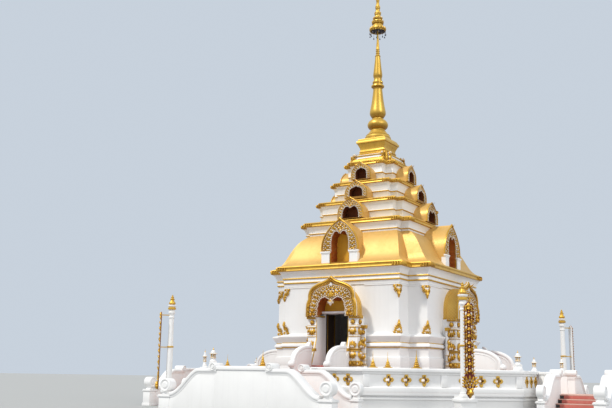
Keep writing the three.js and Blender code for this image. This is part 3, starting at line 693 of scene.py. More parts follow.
def walk(points, gap):
    """Even steps along a line of (side, height) points: each place and the way it heads."""
    places, carried = [], gap / 2
    for (x0, z0), (x1, z1) in zip(points, points[1:]):
        length = math.hypot(x1 - x0, z1 - z0)
        heading = math.atan2(z1 - z0, x1 - x0)
        while carried <= length:
            t = carried / length
            places.append((x0 + (x1 - x0) * t, z0 + (z1 - z0) * t, heading))
            carried += gap
        carried -= length
    return places


# Banner poles: a square plastered pedestal, a round white shaft with a gold ring, gold and white
# mouldings at its head, and a gold finial of stacked balls. They stand by themselves on the lawn.
def square(half, z):
    return [(half, -half, z), (half, half, z), (-half, half, z), (-half, -half, z)]


def put_at_corner(bm):
    turned(bm, math.pi / 4)
    bmesh.ops.translate(bm, verts=bm.verts, vec=(6.8, -6.8, 0))


pole = bmesh.new()
sizes = [(0.31, 0), (0.33, 0.02), (0.33, 0.12), (0.295, 0.16), (0.29, 0.7), (0.31, 0.73), (0.34, 0.76),
         (0.34, 0.84), (0.32, 0.86), (0.28, 0.88), (0.28, 0.95), (0.26, 0.96)]
raise_rings(pole, [square(half, z) for half, z in sizes])
soften(pole, 0.01)
white_foot = [(0.2, 0.955), (0.2, 0.99), (0.165, 1.01), (0.175, 1.04), (0.165, 1.07), (0.143, 1.09),
              (0.139, 1.3), (0.124, 2.68)]
gold_ring = [(0.15, 2.69), (0.15, 2.74), (0.122, 2.75)]
white_shaft = [(0.102, 3.96), (0.125, 3.98), (0.13, 4.02), (0.105, 4.05), (0.11, 4.14)]
head_rings = [(0.15, 4.19), (0.15, 4.25), (0.12, 4.27), (0.12, 4.34)]
gold_disc = [(0.17, 4.35), (0.178, 4.39), (0.175, 4.43), (0.125, 4.45)]
white_disc = [(0.18, 4.5), (0.18, 4.545), (0.1, 4.56)]
balls = [(0.145, 4.6), (0.15, 4.63), (0.14, 4.66), (0.085, 4.72), (0.07, 4.76), (0.1, 4.79), (0.1, 4.81),
         (0.07, 4.84), (0.05, 4.86), (0.07, 4.89), (0.05, 4.92), (0.03, 4.94), (0.04, 4.965), (0.012, 4.99),
         (0.0, 5.03)]
shaft = white_foot + gold_ring + white_shaft + head_rings + gold_disc + white_disc + balls
lathed(pole, shaft, marks=[0] * 7 + [1] * 3 + [0] * 9 + [1] * 4 + [0] * 3 + [1] * 15)
for z in (2.7, 4.1):
    block(pole, (-0.02, -0.43, z - 0.02), (0.02, 0, z + 0.02), 1)
put_at_corner(pole)
four_times("banner_pole", pole, [plaster, gold], ["pole_"], names=CORNERS)


# Banners: tall narrow boards hung on two arms of each pole, white behind and dark red in front,
# faced with cast gold leaves: rosettes between leaf points, a broad leafy foot and a drop.
banner_red = painted("banner_red", (0.16, 0.012, 0.01), (0.05, 0.005, 0.005), 0.5, 0.7, grain=60.0)
pale_relief = painted("white_relief", (0.84, 0.81, 0.76), (0.6, 0.42, 0.2), 0.45, 0.6, grain=70.0, bump=0.3)
# Ornament gold; its faces that look down are darkened as painted shade.
bright_gold = painted(
    "ornament_gold", (0.74, 0.43, 0.05), (0.26, 0.11, 0.01), 0.55, 0.36, metallic=0.45, grain=70.0, bump=0.35,
    underside_shade=0.4,
)
# A darker gold for the grounds and backings behind the ornament: painted shade of the recesses.
shaded_gold = painted(
    "shade_painted_gold", (0.36, 0.18, 0.02), (0.14, 0.05, 0.008), 0.6, 0.5, metallic=0.3, grain=80.0, bump=0.4
)

banner = bmesh.new()
edge = halves([(0.0, 0.87), (0.08, 0.96), (0.15, 1.06), (0.09, 1.19), (0.2, 1.25), (0.225, 1.3), (0.225, 1.6),
               (0.165, 1.7), (0.165, 4.08), (0.11, 4.17), (0.0, 4.25)])
pushed(banner, edge, -0.46, -0.437)
pushed(banner, edge, -0.4365, -0.43, 3)
soften(banner, 0.003, 1)
for side in (1, -1):
    for k in range(20):
        rise = 0.1225 * k
        stamp(banner, flame, (side * 0.152, -0.46, 1.72 + rise), 0.075, lean=-side * 1.2, wide=0.9, mark=1)
        stamp(banner, rosette, (side * 0.143, -0.463, 1.78 + rise), 0.035, mark=1)
    for z in (1.27, 1.37, 1.47, 1.58):
        stamp(banner, flame, (side * 0.19, -0.46, z), 0.12, lean=-side * 1.25, wide=0.9, mark=1)
for row in range(10):
    z = 4.02 - 0.245 * row
    stamp(banner, rosette, (0, -0.462, z), 0.15, mark=1, deep=1.2)
    stamp(banner, rosette, (0, -0.48, z), 0.05, mark=2)
    for side in (1, -1):
        x, fan, wide = side * 0.08, side * 0.3, side * 0.8
        stamp(banner, curl, (x, -0.46, z - 0.11), 0.125, lean=-fan, wide=wide, mark=1)
        stamp(banner, curl, (x, -0.46, z + 0.11), 0.125, lean=math.pi + fan, wide=-wide, mark=1 + row % 2)
        stamp(banner, leaf, (side * 0.065, -0.462, z), 0.07, lean=-side * 1.57, wide=0.9, mark=1)
    if row < 9:
        stamp(banner, diamond, (0, -0.462, z - 0.122), 0.075, wide=0.9, mark=2 if row % 2 else 1)
for x, z in ((0.0, 1.53), (0.12, 1.5), (-0.12, 1.5), (0.06, 1.41), (-0.06, 1.41), (0.15, 1.36), (-0.15, 1.36),
             (0.0, 1.29), (0.1, 1.26), (-0.1, 1.26)):
    stamp(banner, flame, (x, -0.462, z), 0.15, lean=-x * 1.5, wide=0.75, mark=1)
    stamp(banner, rosette, (x, -0.465, z - 0.02), 0.05, mark=2)
stamp(banner, diamond, (0, -0.462, 1.06), 0.34, mark=1)
stamp(banner, rosette, (0, -0.48, 1.07), 0.09, mark=2)
for side in (1, -1):
    stamp(banner, leaf, (side * 0.03, -0.462, 1.16), 0.15, lean=-side, mark=1)
stamp(banner, bud, (0, -0.462, 4.06), 0.16, wide=0.9, mark=1)
put_at_corner(banner)
banner_finishes = [banner_red, bright_gold, pale_relief, plaster]
four_times("banner", banner, banner_finishes, ["banner_"], names=CORNERS, merge=0)


# Plinth and hall walls: plastered brick on a twelve-cornered plan, with a moulded base, a heavy
# torus lip and two thin gold lines run in the plaster.
plinth = copied("building_plinth")
soften(plinth, 0.008)
finished("hall_plinth", plinth, [plaster], ["building_plinth"])

wall = copied("wall_front_right")
for face in wall.faces:
    z = face.calc_center_median().z
    outer = max(max(abs(v.co.x), abs(v.co.y)) for v in face.verts) > 2.8
    if outer and abs(face.normal.z) < 0.3 and (2.755 < z < 2.82 or 2.965 < z < 3.015):
        face.material_index = 1
soften(wall, 0.009, 3, 20)
for face in wall.faces:
    middle = face.calc_center_median()
    if max(abs(middle.x), abs(middle.y)) < 3.335 and min(abs(middle.x), abs(middle.y)) < 2.43:
        face.material_index = 0
four_times("hall_wall", wall, [plaster, gold], ["wall_"], names=CORNERS)


# Corner leaves: a cluster of white and gold leaves wraps each outer corner of the walls, standing
# on the torus lip at the foot and hanging from the cornice at the head.
def corner_cluster(bm, x, y, z, up):
    """Wraps the corner between the faces that look to -Y and to +X. up is 1 to stand, -1 to hang."""
    lean = 0 if up > 0 else math.pi
    outline = [(0.235, 0.0), (0.0, 0.0), (0.0, 0.5), (0.07, 0.36), (0.165, 0.19)]
    # Thin backing plates on both faces are in the darker gold: painted shade behind the leaves.
    pushed(bm, [(x - u, z + up * v) for u, v in outline][::-up], y - 0.012, y, 2)
    pushed(bm, [(y + u, z + up * v) for u, v in outline][::up], x, x + 0.012, 2, along="X")
    rows = ((0.0, 0.12, (0.035, 0.1, 0.165, 0.225)), (0.085, 0.115, (0.06, 0.12, 0.18)),
            (0.165, 0.115, (0.035, 0.095, 0.145)), (0.245, 0.1, (0.05, 0.105)), (0.315, 0.09, (0.035, 0.075)),
            (0.385, 0.09, (0.035,)))
    for level, (rise, size, places) in enumerate(rows):
        for k, out in enumerate(places):
            shape, mark = ((curl, 0), (rosette, 1), (flame, 0), (rosette, 0))[(k + level) % 4]
            middle = z + up * (rise + (size / 2 if shape is rosette else 0))
            height = size * (0.8 if shape is rosette else 1.1)
            fan = (0.5 if shape is curl else 0.2) * up
            wide = -1 if shape is curl else 1
            stamp(bm, shape, (x - out, y - 0.012, middle), height, lean=lean + fan, mark=mark, deep=1.2)
            stamp(bm, shape, (x + 0.012, y + out, middle), height, lean=lean - fan, wide=wide, mark=mark,
                  turn=math.pi / 2, deep=1.2)
    for rise, height, mark in ((0.0, 0.16, 0), (0.1, 0.17, 1), (0.2, 0.18, 0), (0.3, 0.28, 0)):
        stamp(bm, flame, (x - 0.012, y + 0.012, z + up * rise), height, lean=lean, wide=0.7, mark=mark,
              turn=math.pi / 4, deep=1.5)


clusters = bmesh.new()
for x, y in ((2.82, -3.72), (3.72, -2.82)):
    corner_cluster(clusters, x, y, 3.36, 1)
    corner_cluster(clusters, x, y, 5.4, -1)
leaf_finishes = [bright_gold, pale_relief, shaded_gold]
four_times("corner_leaves", clusters, leaf_finishes, names=CORNERS, merge=0)


# Porch vaults: between each porch arch and the wall runs a barrel vault, patterned and painted
# pale gold outside and dark red within, over a plain lintel and a yellow wall.
def curved(points, steps=4):
    """A smooth line through (side, height) points."""

    def bent(a, b, c, d, t):
        second, third = 2 * a - 5 * b + 4 * c - d, 3 * b - a - 3 * c + d
        return 0.5 * (2 * b + (c - a) * t + second * t * t + third * t ** 3)

    line = []
    for k in range(len(points) - 1):
        around = points[max(k - 1, 0)], points[k], points[k + 1], points[min(k + 2, len(points) - 1)]
        for step in range(steps):
            line.append(tuple(bent(*along, step / steps) for along in zip(*around)))
    return line + [points[-1]]


def spaced(points, count):
    """The same line as count points at even steps along it."""
    lengths = [math.dist(a, b) for a, b in zip(points, points[1:])]
    total = sum(lengths)
    result, k, passed = [], 0, 0.0
    for step in range(count):
        goal = total * step / (count - 1)
        while k < len(lengths) - 1 and passed + lengths[k] < goal:
            passed += lengths[k]
            k += 1
        t = min(max((goal - passed) / lengths[k], 0), 1)
        result.append(tuple(a + (b - a) * t for a, b in zip(points[k], points[k + 1])))
    return result


def whole(right, count):
    """Both halves of an arch from its right half, foot to tip, as an odd count of points."""
    half = spaced(right, (count + 1) // 2)
    return half + [(-x, z) for x, z in reversed(half[:-1])]


def at_depth(line, y):
    return [(x, y, z) for x, z in line]


def scalloped(right, count, depth, lobes):
    """An inner edge with small round lobes along it."""
    half = spaced(right, count)
    result = []
    for k, (x, z) in enumerate(half):
        before, after = half[max(k - 1, 0)], half[min(k + 1, count - 1)]
        run = Vector((after[0] - before[0], after[1] - before[1])).normalized()
        dip = depth * (1 - abs(math.sin(math.pi * lobes * k / (count - 1))))
        result.append((x - run.y * dip, z + run.x * dip))
    result[-1] = (0.0, result[-1][1])
    return result


def trellis():
    """Crossed diagonal lines that run over the crown of a vault."""
    group, given, out = new_group("trellis", {"Scale": 9.0}, ("Height",))
    place = node(group, "ShaderNodeTexCoord", {}).outputs["Object"]
    parts = node(group, "ShaderNodeSeparateXYZ", {0: place}).outputs
    side, ahead_it = maths(group, "ABSOLUTE", parts[0]), maths(group, "ABSOLUTE", parts[1])
    along_it = maths(group, "MAXIMUM", side, ahead_it)
    up_it = maths(group, "SUBTRACT", parts[2], maths(group, "MINIMUM", side, ahead_it))
    lines = []
    for slope in ("ADD", "SUBTRACT"):
        slant = maths(group, "MULTIPLY", maths(group, slope, along_it, up_it), given.outputs["Scale"])
        lines.append(maths(group, "PINGPONG", slant, 0.5))
    group.links.new(spread(group, maths(group, "MINIMUM", *lines), 0.0, 0.14), out.inputs["Height"])
    return group


def patterned(name, paint, lines, size):
    """Gold paint over a trellis of raised lines."""
    finish = painted(name, paint, lines, 0.35, 0.42, metallic=0.4, grain=18.0, bump=0.2)
    tree = finish.node_tree
    shader = tree.nodes["Principled BSDF"]
    lattice = tree.nodes.new("ShaderNodeGroup")
    lattice.node_tree = trellis()
    lattice.inputs["Scale"].default_value = size
    plain = shader.inputs["Base Color"].links[0].from_socket
    tree.links.new(mixed(tree, lattice.outputs["Height"], (*lines, 1), plain), shader.inputs["Base Color"])
    dents = shader.inputs["Normal"].links[0].from_socket
    wires = {"Height": lattice.outputs["Height"], "Strength": 0.4, "Distance": 0.01, "Normal": dents}
    raised = node(tree, "ShaderNodeBump", wires)
    tree.links.new(raised.outputs["Normal"], shader.inputs["Normal"])
    return finish


vault_gold = patterned("vault_gold", (0.78, 0.5, 0.11), (0.56, 0.31, 0.05), 7.0)
dark_red = painted("vault_red", (0.34, 0.075, 0.012), (0.46, 0.18, 0.02), 0.5, 0.6)
yellow_wall = painted("yellow_wall", (0.8, 0.43, 0.02), (0.55, 0.26, 0.015), 0.5, 0.6)

ARCH_RIGHT = curved([(1.13, 4.06), (1.13, 4.4), (1.1, 4.64), (1.03, 4.8), (1.03, 4.97), (0.975, 5.14),
                     (0.87, 5.26), (0.66, 5.375), (0.44, 5.45), (0.25, 5.515), (0.12, 5.58), (0.05, 5.64),
                     (0.0, 5.7)])
MOUTH_RIGHT = curved([(0.72, 4.06), (0.73, 4.35), (0.66, 4.68), (0.53, 4.86), (0.36, 4.93), (0.2, 4.9),
                      (0.1, 4.82), (0.0, 4.76)])
VAULT_RIGHT = curved([(1.09, 4.06), (1.08, 4.45), (1.03, 4.73), (0.935, 4.935), (0.815, 5.1), (0.64, 5.25),
                      (0.42, 5.38), (0.19, 5.47), (0.0, 5.52)])
PORCH_BACK = -3.7203    # 0.3 mm off the wall of the hall


def unbarred(bm, z, half):
    """Takes out the strips that would bar the way between the two feet of an arch."""
    bars = []
    for face in bm.faces:
        sides = [vert.co.x for vert in face.verts]
        if max(vert.co.z for vert in face.verts) < z and min(sides) < -half and max(sides) > half:
            bars.append(face)
    bmesh.ops.delete(bm, geom=bars, context="FACES")


vault = bmesh.new()
outer, inner = whole(VAULT_RIGHT, 61), whole(MOUTH_RIGHT, 61)
drawn_in = [(x * 0.985, z - 0.012) for x, z in outer]
over_lintel = [(x, max(z, 4.3)) for x, z in inner]
hoops = ((outer, PORCH_BACK), (outer, -3.86), (drawn_in, -3.865), (drawn_in, -4.36), (inner, -4.36),
         (over_lintel, -3.75))
shell = raise_rings(vault, [at_depth(line, y) for line, y in hoops], [0, 0, 0, 0, 1, 2])
bmesh.ops.delete(vault, geom=[shell[0]], context="FACES_ONLY")
unbarred(vault, 4.31, 0.3)
block(vault, (-0.755, -4.0, 4.232), (0.755, PORCH_BACK, 4.31), 3)
block(vault, (-0.7497, -3.7198, 4.2301), (0.7497, -3.32, 5.44), 3)
for low, high in ((0.72, 1.12), (-1.12, -0.72)):
    block(vault, (low, -4.34, 4.07), (high, PORCH_BACK, 4.13), 4)
vault_finishes = [vault_gold, dark_red, yellow_wall, plaster, gold]
four_times("porch_vault", vault, vault_finishes, ["porch_"])


# Porch arches: cast fronts of gold and white foliage between a thick gold rim, which rises to a
# curled tip, and a lobed inner edge with a pendant at its crown.
def garland(bm, inner, outer, y, size, rows):
    """Rows of leaves and rosettes over a face between two lines. A row: place, shapes, marks, size."""
    for part, shapes, marks, grown in rows:
        middle = [(a[0] + (b[0] - a[0]) * part, a[1] + (b[1] - a[1]) * part) for a, b in zip(inner, outer)]
        for k, (x, z, heading) in enumerate(walk(middle, size * grown * 0.72)):
            side = 1 if x > 0 else -1
            shape = shapes[k % len(shapes)]
            lean = heading - math.pi + (0.7 * side if shape is curl else 0)
            stamp(bm, shape, (x, y, z), size * grown * (0.8 if shape is rosette else 1.1), lean=lean,
                  wide=side if shape is curl else 1.0, mark=marks[k % len(marks)], deep=1.3)


def fringe(bm, line, y, size, mark, inward=False, shape=None, gap=0.8):
    """Leaves that stand out from a line, as on the rim of an arch."""
    for x, z, heading in walk(line, size * gap):
        stamp(bm, shape or flame, (x, y, z), size, lean=heading if inward else heading - math.pi, mark=mark)


def curled_tip(bm, face, tip, reach, mark):
    """A horn that leans out from the tip of an arch."""
    rings = []
    for k in range(7):
        u = k / 6
        y, z = -face + 0.03 - (reach + 0.03) * u ** 0.8, tip - 0.12 + 0.15 * u ** 1.8
        half = 0.055 * (1 - u) ** 0.8 + 0.004
        rings.append([(half, y, z), (0, y - half * 0.4, z + half * 1.2), (-half, y, z),
                      (0, y + half * 0.4, z - half * 1.2)])
    for face in raise_rings(bm, rings):
        face.material_index = mark


arch = bmesh.new()
rim, mouth = whole(ARCH_RIGHT, 97), whole(scalloped(MOUTH_RIGHT, 49, 0.04, 6), 97)
tight = [(x * 0.97, z - 0.03 if z > 4.2 else z) for x, z in rim]
hoops = ((mouth, -4.345), (rim, -4.345), (rim, -4.47), (tight, -4.49), (mouth, -4.49), (mouth, -4.345))
# The face between rim and opening is in the darker gold: painted shade behind the foliage.
raise_rings(arch, [at_depth(line, y) for line, y in hoops], [0, 0, 0, 4, 2], closed=False)
unbarred(arch, 4.12, 0.3)
roll = [(-4.4, 0.005), (-4.5, 0.008), (-4.535, -0.01), (-4.55, -0.045), (-4.535, -0.08), (-4.5, -0.105),
        (-4.4, -0.1)]
swept(arch, roll, rim)
garland(arch, mouth, rim, -4.49, 0.085, [
    (0.1, (rosette, curl), (3, 0), 0.8), (0.24, (curl, rosette, flame), (0, 3, 0), 1.0),
    (0.38, (rosette, curl, curl), (0, 3, 0), 1.0), (0.52, (curl, rosette, flame), (0, 3, 0), 1.0),
    (0.66, (rosette, curl), (3, 0), 0.9), (0.78, (rosette,), (3,), 0.6)])
thin_roll = [(-4.48, -0.115), (-4.505, -0.11), (-4.51, -0.12), (-4.505, -0.13), (-4.48, -0.125)]
swept(arch, thin_roll, rim, 3)
fringe(arch, rim, -4.46, 0.08, 0)
fringe(arch, mouth, -4.49, 0.05, 3, inward=True, shape=leaf, gap=0.9)
for x, z, heading in walk(rim, 0.075):
    stamp(arch, rosette, (x * 0.97, -4.545, z - 0.045 if z > 4.5 else z), 0.055, mark=0)
for shape, y, z, height, wide, mark in ((diamond, -4.5, 4.66, 0.3, 1.3, 3),
                                        (diamond, -4.52, 4.675, 0.25, 1.3, 0),
                                        (flame, -4.5, 4.88, 0.26, 1.3, 0), (flame, -4.5, 5.36, 0.16, 1.4, 3)):
    stamp(arch, shape, (0, y, z), height, wide=wide, mark=mark)
for side in (1, -1):
    for z, size in ((4.12, 0.22), (4.3, 0.22), (4.48, 0.2)):
        stamp(arch, curl, (side * 1.08, -4.49, z), size, lean=-side * 0.5, wide=side, mark=0, deep=1.4)
    for x, z in ((0.83, 4.16), (0.98, 4.14), (0.9, 4.3)):
        stamp(arch, rosette, (side * x, -4.51, z), 0.15, mark=0, deep=1.5)
curled_tip(arch, 4.5, 5.68, 0.28, 0)
arch_finishes = [bright_gold, pale_relief, dark_red, pale_relief, shaded_gold]
four_times("porch_arch", arch, arch_finishes, merge=0)


# Porch piers: white plastered piers that flare out at the foot, set with rows of cast lotus buds
# and rosettes between thin gold lines, with a narrower wing beside each.
SIDE_ON = math.pi / 2    # turns an ornament to the side of a pier


def lotus(bm, at, size, up=1, turn=0.0):
    """A round cluster of lotus petals, standing or hanging, with beads on a ground of darker gold painted as
    shade.
    """
    lean = 0.0 if up > 0 else math.pi
    run = Vector((math.cos(turn), math.sin(turn), 0)) * size
    out = Vector((math.sin(turn), -math.cos(turn), 0))
    high = Vector((0, 0, up)) * size
    base = Vector(at)
    stamp(bm, rosette, base + high * 0.45, size * 1.05, mark=4, turn=turn, deep=0.35)
    petals = ((-0.33, 0.12, 0.5, 0.62, 0), (0.33, 0.12, -0.5, 0.62, 0), (-0.18, 0.2, 0.25, 0.75, 0),
              (0.18, 0.2, -0.25, 0.75, 0), (0.0, 0.25, 0.0, 0.8, 0), (-0.12, 0.05, 0.12, 0.5, 1),
              (0.12, 0.05, -0.12, 0.5, 1), (0.0, 0.08, 0.0, 0.45, 0))
    for shift, rise, fan, grown, part in petals:
        place = base + run * shift + high * rise + out * (0.02 + 0.02 * part)
        tilt = lean + fan * up
        stamp(bm, leaf, place, size * grown, lean=tilt, wide=0.7, mark=2 + part, turn=turn, deep=1.3)
    for shift in (-0.36, -0.12, 0.12, 0.36):
        place = base + run * shift + high * 0.04 + out * 0.03
        stamp(bm, rosette, place, size * 0.2, mark=2, turn=turn, deep=1.4)


def flower(bm, at, size, turn=0.0):
    """A round rosette in a ring of petals, on a ground of darker gold painted as shade."""
    out = Vector((math.sin(turn), -math.cos(turn), 0))
    for rise, grown, mark, deep in ((0, 1.3, 4, 0.35), (0.012, 1.12, 2, 1.0), (size * 0.25, 0.6, 3, 1.0),
                                    (size * 0.4, 0.3, 2, 1.2)):
        stamp(bm, rosette, Vector(at) + out * rise, size * grown, mark=mark, turn=turn, deep=deep)


def set_in(bm, at, size, kind, turn=0.0):
    """A flower for kind 0, or else a lotus that stands for 1 and hangs for -1."""
    if kind:
        lotus(bm, at, size, kind, turn)
    else:
        flower(bm, at, size, turn)


piers = bmesh.new()
block(piers, (0.75, -4.35, FLOOR), (1.2, PORCH_BACK, 4.06))
flare = [(-4.34, 1.0), (-4.78, 1.0), (-4.78, 1.96), (-4.7, 2.12), (-4.62, 2.33), (-4.52, 2.62),
         (-4.425, 2.92), (-4.36, 3.15), (-4.34, 3.3)]
pushed(piers, flare, 0.7503, 0.86, along="X")
block(piers, (1.19, -4.02, FLOOR), (1.4, -3.93, 3.58))
# The band from 2.64 to 2.69 m is in the darker gold, a painted shade in its recess.
for z0, z1, out, mark in ((3.97, 4.0, 0.05, 1), (4.0, 4.07, 0.045, 0), (4.07, 4.1, 0.06, 1),
                          (3.68, 3.7, 0.03, 1), (3.6, 3.625, 0.04, 1), (3.625, 3.68, 0.03, 0),
                          (3.3, 3.32, 0.03, 1), (3.21, 3.23, 0.03, 1), (3.23, 3.3, 0.015, 0),
                          (2.69, 2.715, 0.04, 1), (2.64, 2.69, 0.025, 4), (2.61, 2.64, 0.04, 1),
                          (2.19, 2.21, 0.05, 1), (1.985, 2.01, 0.055, 1), (2.01, 2.19, 0.045, 0),
                          (1.0, 1.985, 0.05, 0)):
    block(piers, (0.8, -4.35 - out, z0), (1.2 + out, -3.94, z1), mark)
for z0, z1, out, mark in ((3.56, 3.585, 0.06, 1), (3.585, 3.65, 0.07, 1), (3.65, 3.69, 0.09, 1),
                          (2.5, 2.52, 0.05, 1), (2.24, 2.26, 0.08, 1), (2.08, 2.1, 0.07, 1),
                          (2.02, 2.04, 0.07, 1), (1.0, 2.02, 0.05, 0)):
    block(piers, (1.19, -4.02 - out, z0), (1.4 + out, -3.93, z1), mark)
block(piers, (0.752, -4.357, 3.18), (0.785, -4.345, 3.95), 1)
soften(piers, 0.005)
gold_line = [(-4.362, 3.2), (-4.38, 3.12), (-4.445, 2.92), (-4.54, 2.62), (-4.64, 2.33), (-4.72, 2.12),
             (-4.8, 1.96)]
for (y0, z0), (y1, z1) in zip(gold_line, gold_line[1:]):
    pushed(piers, [(y0, z0), (y1, z1), (y1 + 0.02, z1), (y0 + 0.02, z0)], 0.752, 0.787, 1, along="X")
block(piers, (0.745, -4.56, 2.6), (0.87, -4.4, 2.72), 1)
for z, size, kind in ((3.83, 0.19, 0), (3.585, 0.3, -1), (2.74, 0.3, 1), (2.59, 0.3, -1)):
    set_in(piers, (0.99, -4.352, z), size, kind)
    set_in(piers, (1.2, -4.14, z), size, kind, SIDE_ON)
for x in (0.87, 0.98, 1.09, 1.2):
    stamp(piers, flame, (x, -4.4, 3.99), 0.13, wide=1.2, mark=2)
    stamp(piers, rosette, (x - 0.05, -4.4, 4.06), 0.05, mark=3)
for x in (0.91, 1.1):
    flower(piers, (x, -4.4, 2.1), 0.17)
for y in (-4.33, -4.22, -4.11, -4.0):
    stamp(piers, flame, (1.248, y, 3.99), 0.13, wide=1.2, mark=2, turn=SIDE_ON)
    stamp(piers, rosette, (1.248, y + 0.05, 4.06), 0.05, mark=3, turn=SIDE_ON)
for y in (-4.3, -4.1):
    flower(piers, (1.25, y, 2.1), 0.17, SIDE_ON)
for x, y, turn in ((0.84, -4.4, 0.0), (1.005, -4.4, 0.0), (1.2, -4.4, 0.0), (1.25, -4.38, SIDE_ON),
                   (1.25, -4.2, SIDE_ON), (1.25, -4.02, SIDE_ON)):
    for z, lean in ((2.0, 0.0), (2.2, math.pi)):
        stamp(piers, flame, (x, y, z), 0.11, lean=lean, wide=0.9, mark=2, turn=turn)
for z, size, kind in ((3.4, 0.17, 0), (3.18, 0.24, -1), (2.74, 0.24, 1), (2.48, 0.22, -1)):
    set_in(piers, (1.31, -4.022, z), size, kind)
stamp(piers, curl, (1.46, -4.02, 3.68), 0.2, lean=2.4, mark=2, deep=1.5)
mirrored(piers)
pier_finishes = [plaster, gold, bright_gold, pale_relief, shaded_gold]
four_times("porch_piers", piers, pier_finishes, merge=0)


# Porch steps: six red cement steps climb from the terrace to each doorway between two curved
# white side walls, which end in a small horn above and a round ball at the foot.
STEP_FACE = 4.7803    # where the porch steps start in front of the plinth, from the centre
steps = bmesh.new()
block(steps, (-0.7497, -4.79, FLOOR), (0.7497, PORCH_BACK, 2.0))
for step in range(5):
    nose, top = STEP_FACE + 0.28 * (5 - step), FLOOR + RISER * (step + 1)
    block(steps, (-0.735, -nose, top - 0.05), (0.735, -4.78, top))
    block(steps, (-0.735, 0.02 - nose, FLOOR), (0.735, -4.78, top - 0.05))
block(steps, (-0.735, -4.81, 1.95), (0.735, -4.7, 2.0))
soften(steps, 0.009)
four_times("porch_steps", steps, [red_cement], ["porch_steps_"])


def quarter_arc(reach, rise):
    """The line of a side wall's back, from level to upright."""
    turns = [k * math.pi / 36 for k in range(19)]
    return [(5.05 + reach * math.sin(turn), 2.15 + rise * math.cos(turn)) for turn in turns]


side_wall = bmesh.new()
arc = quarter_arc(1.14, 0.65)
outline = [(STEP_FACE, 1.0), (STEP_FACE, 2.74)] + [(x - 0.03, z - 0.06) for x, z in arc] + [(6.16, 1.0)]
pushed(side_wall, outline, 0.745, 0.925)
coping = [(0.715, -0.1), (0.715, -0.03), (0.735, 0.0), (0.77, 0.015), (0.9, 0.015), (0.935, 0.0),
          (0.955, -0.03), (0.955, -0.1), (0.93, -0.12), (0.74, -0.12)]
swept(side_wall, coping, [(4.79, 2.8)] + arc + [(6.19, 1.9), (6.19, 1.6), (6.19, 1.02)])
thin_line = [(0.735, -0.02), (0.728, -0.01), (0.735, 0.0), (0.935, 0.0), (0.942, -0.01), (0.935, -0.02)]
swept(side_wall, thin_line, [(4.79, 2.6)] + quarter_arc(0.95, 0.45) + [(6.0, 1.9), (6.0, 1.3)])
horn = [(4.78, 2.79), (5.0, 2.79), (4.985, 2.86), (4.94, 2.92), (4.88, 2.965), (4.82, 2.965), (4.79, 2.93),
        (4.8, 2.89), (4.83, 2.905), (4.85, 2.89), (4.78, 2.86)]
pushed(side_wall, horn, 0.745, 0.925)
turned(side_wall, -math.pi / 2)
soften(side_wall, 0.006, 2, 45)
ball = [(0.0, -0.15), (0.07, -0.14), (0.075, -0.11), (0.11, -0.1), (0.14, -0.06), (0.152, 0.0), (0.14, 0.06),
        (0.1, 0.115), (0.05, 0.145), (0.0, 0.155)]
lathed(side_wall, ball, (0.835, -6.25, 2.02), 24)
mirrored(side_wall)
four_times("step_walls", side_wall, [plaster])


# Door leaves: the two front leaves of dark stained wood stand open, on pins at their outer
# edges. Stiles and rails frame a sunk panel, and thin gold lines run up the stiles.
wood = painted("dark_wood", (0.035, 0.022, 0.016), (0.012, 0.008, 0.006), 0.5, 0.42, grain=90.0, bump=0.2)


def leaf_shape(x0, x1, y0, y1, low, high):
    """One leaf between x0 and x1, y0 and y1. Its broad faces look along X."""
    bm = bmesh.new()
    block(bm, (x0 + 0.008, y0, low), (x1 - 0.008, y1, high))
    for a, b in ((y0, y0 + 0.1), (y1 - 0.1, y1)):
        block(bm, (x0, a, low), (x1, b, high))
    for a, b in ((low, low + 0.22), (3.05, 3.17), (high - 0.13, high)):
        block(bm, (x0 + 0.001, y0 + 0.09, a), (x1 - 0.001, y1 - 0.09, b))
    soften(bm, 0.003)
    for a, wide in ((y0 + 0.02, 0.03), (y0 + 0.082, 0.012), (y1 - 0.094, 0.012), (y1 - 0.05, 0.03)):
        block(bm, (x0 - 0.001, a, low + 0.03), (x1 + 0.001, a + wide, high - 0.03), 1)
    return bm


for name, x0, x1 in (("left", -0.741, -0.693), ("right", 0.693, 0.741)):
    door_leaf = leaf_shape(x0, x1, -3.586, -2.862, 2.0135, 4.2135)
    stands_for = ["door_leaf_" + name]
    finished("door_leaf_" + name + "_wood", door_leaf, [wood, gold], stands_for, "leaf_" + name)


# Closed doors: a pair of the same dark leaves fills each of the other three doorways, with a
# moulded strip over the joint between them.
closed = bmesh.new()
for low, high in ((-0.7495, -0.001), (0.001, 0.7495)):
    block(closed, (low, -3.594, 2.002), (high, -3.556, 4.228))
    for a, b in ((low, low + 0.1), (high - 0.1, high)):
        block(closed, (a, -3.6, 2.002), (b, -3.55, 4.228))
        block(closed, (a + 0.045, -3.602, 2.05), (a + 0.055, -3.59, 4.18), 1)
    for a, b in ((2.002, 2.22), (3.05, 3.17), (4.1, 4.228)):
        block(closed, (low + 0.09, -3.599, a), (high - 0.09, -3.551, b))
block(closed, (-0.045, -3.63, 2.06), (0.045, -3.6, 4.17))
block(closed, (-0.022, -3.634, 2.08), (0.022, -3.62, 4.15), 1)
soften(closed, 0.003)
for side in SIDES[1:]:
    turned(closed, math.pi / 2)
    finished("closed_doors_" + side, closed.copy(), [wood, gold], ["doors_" + side])
closed.free()


# Cornice: plaster mouldings over the walls, two thin gold lines, a cove that leans out and a
# broad gold band with curled leaves and ball knobs at its corners.
def twelve(half, notch, z):
    """The twelve-cornered plan: a square with a step taken out of each corner."""
    quarter = [(notch, -half), (notch, -notch), (half, -notch)]
    points = []
    for _ in range(4):
        points += [(x, y, z) for x, y in quarter]
        quarter = [(-y, x) for x, y in quarter]
    return points


def moulded(bm, levels):
    """Stacks twelve-cornered rings given as (height, half, notch, finish)."""
    rings = [twelve(half, notch, z) for z, half, notch, _ in levels]
    raise_rings(bm, rings, [mark for _, _, _, mark in levels[1:]])


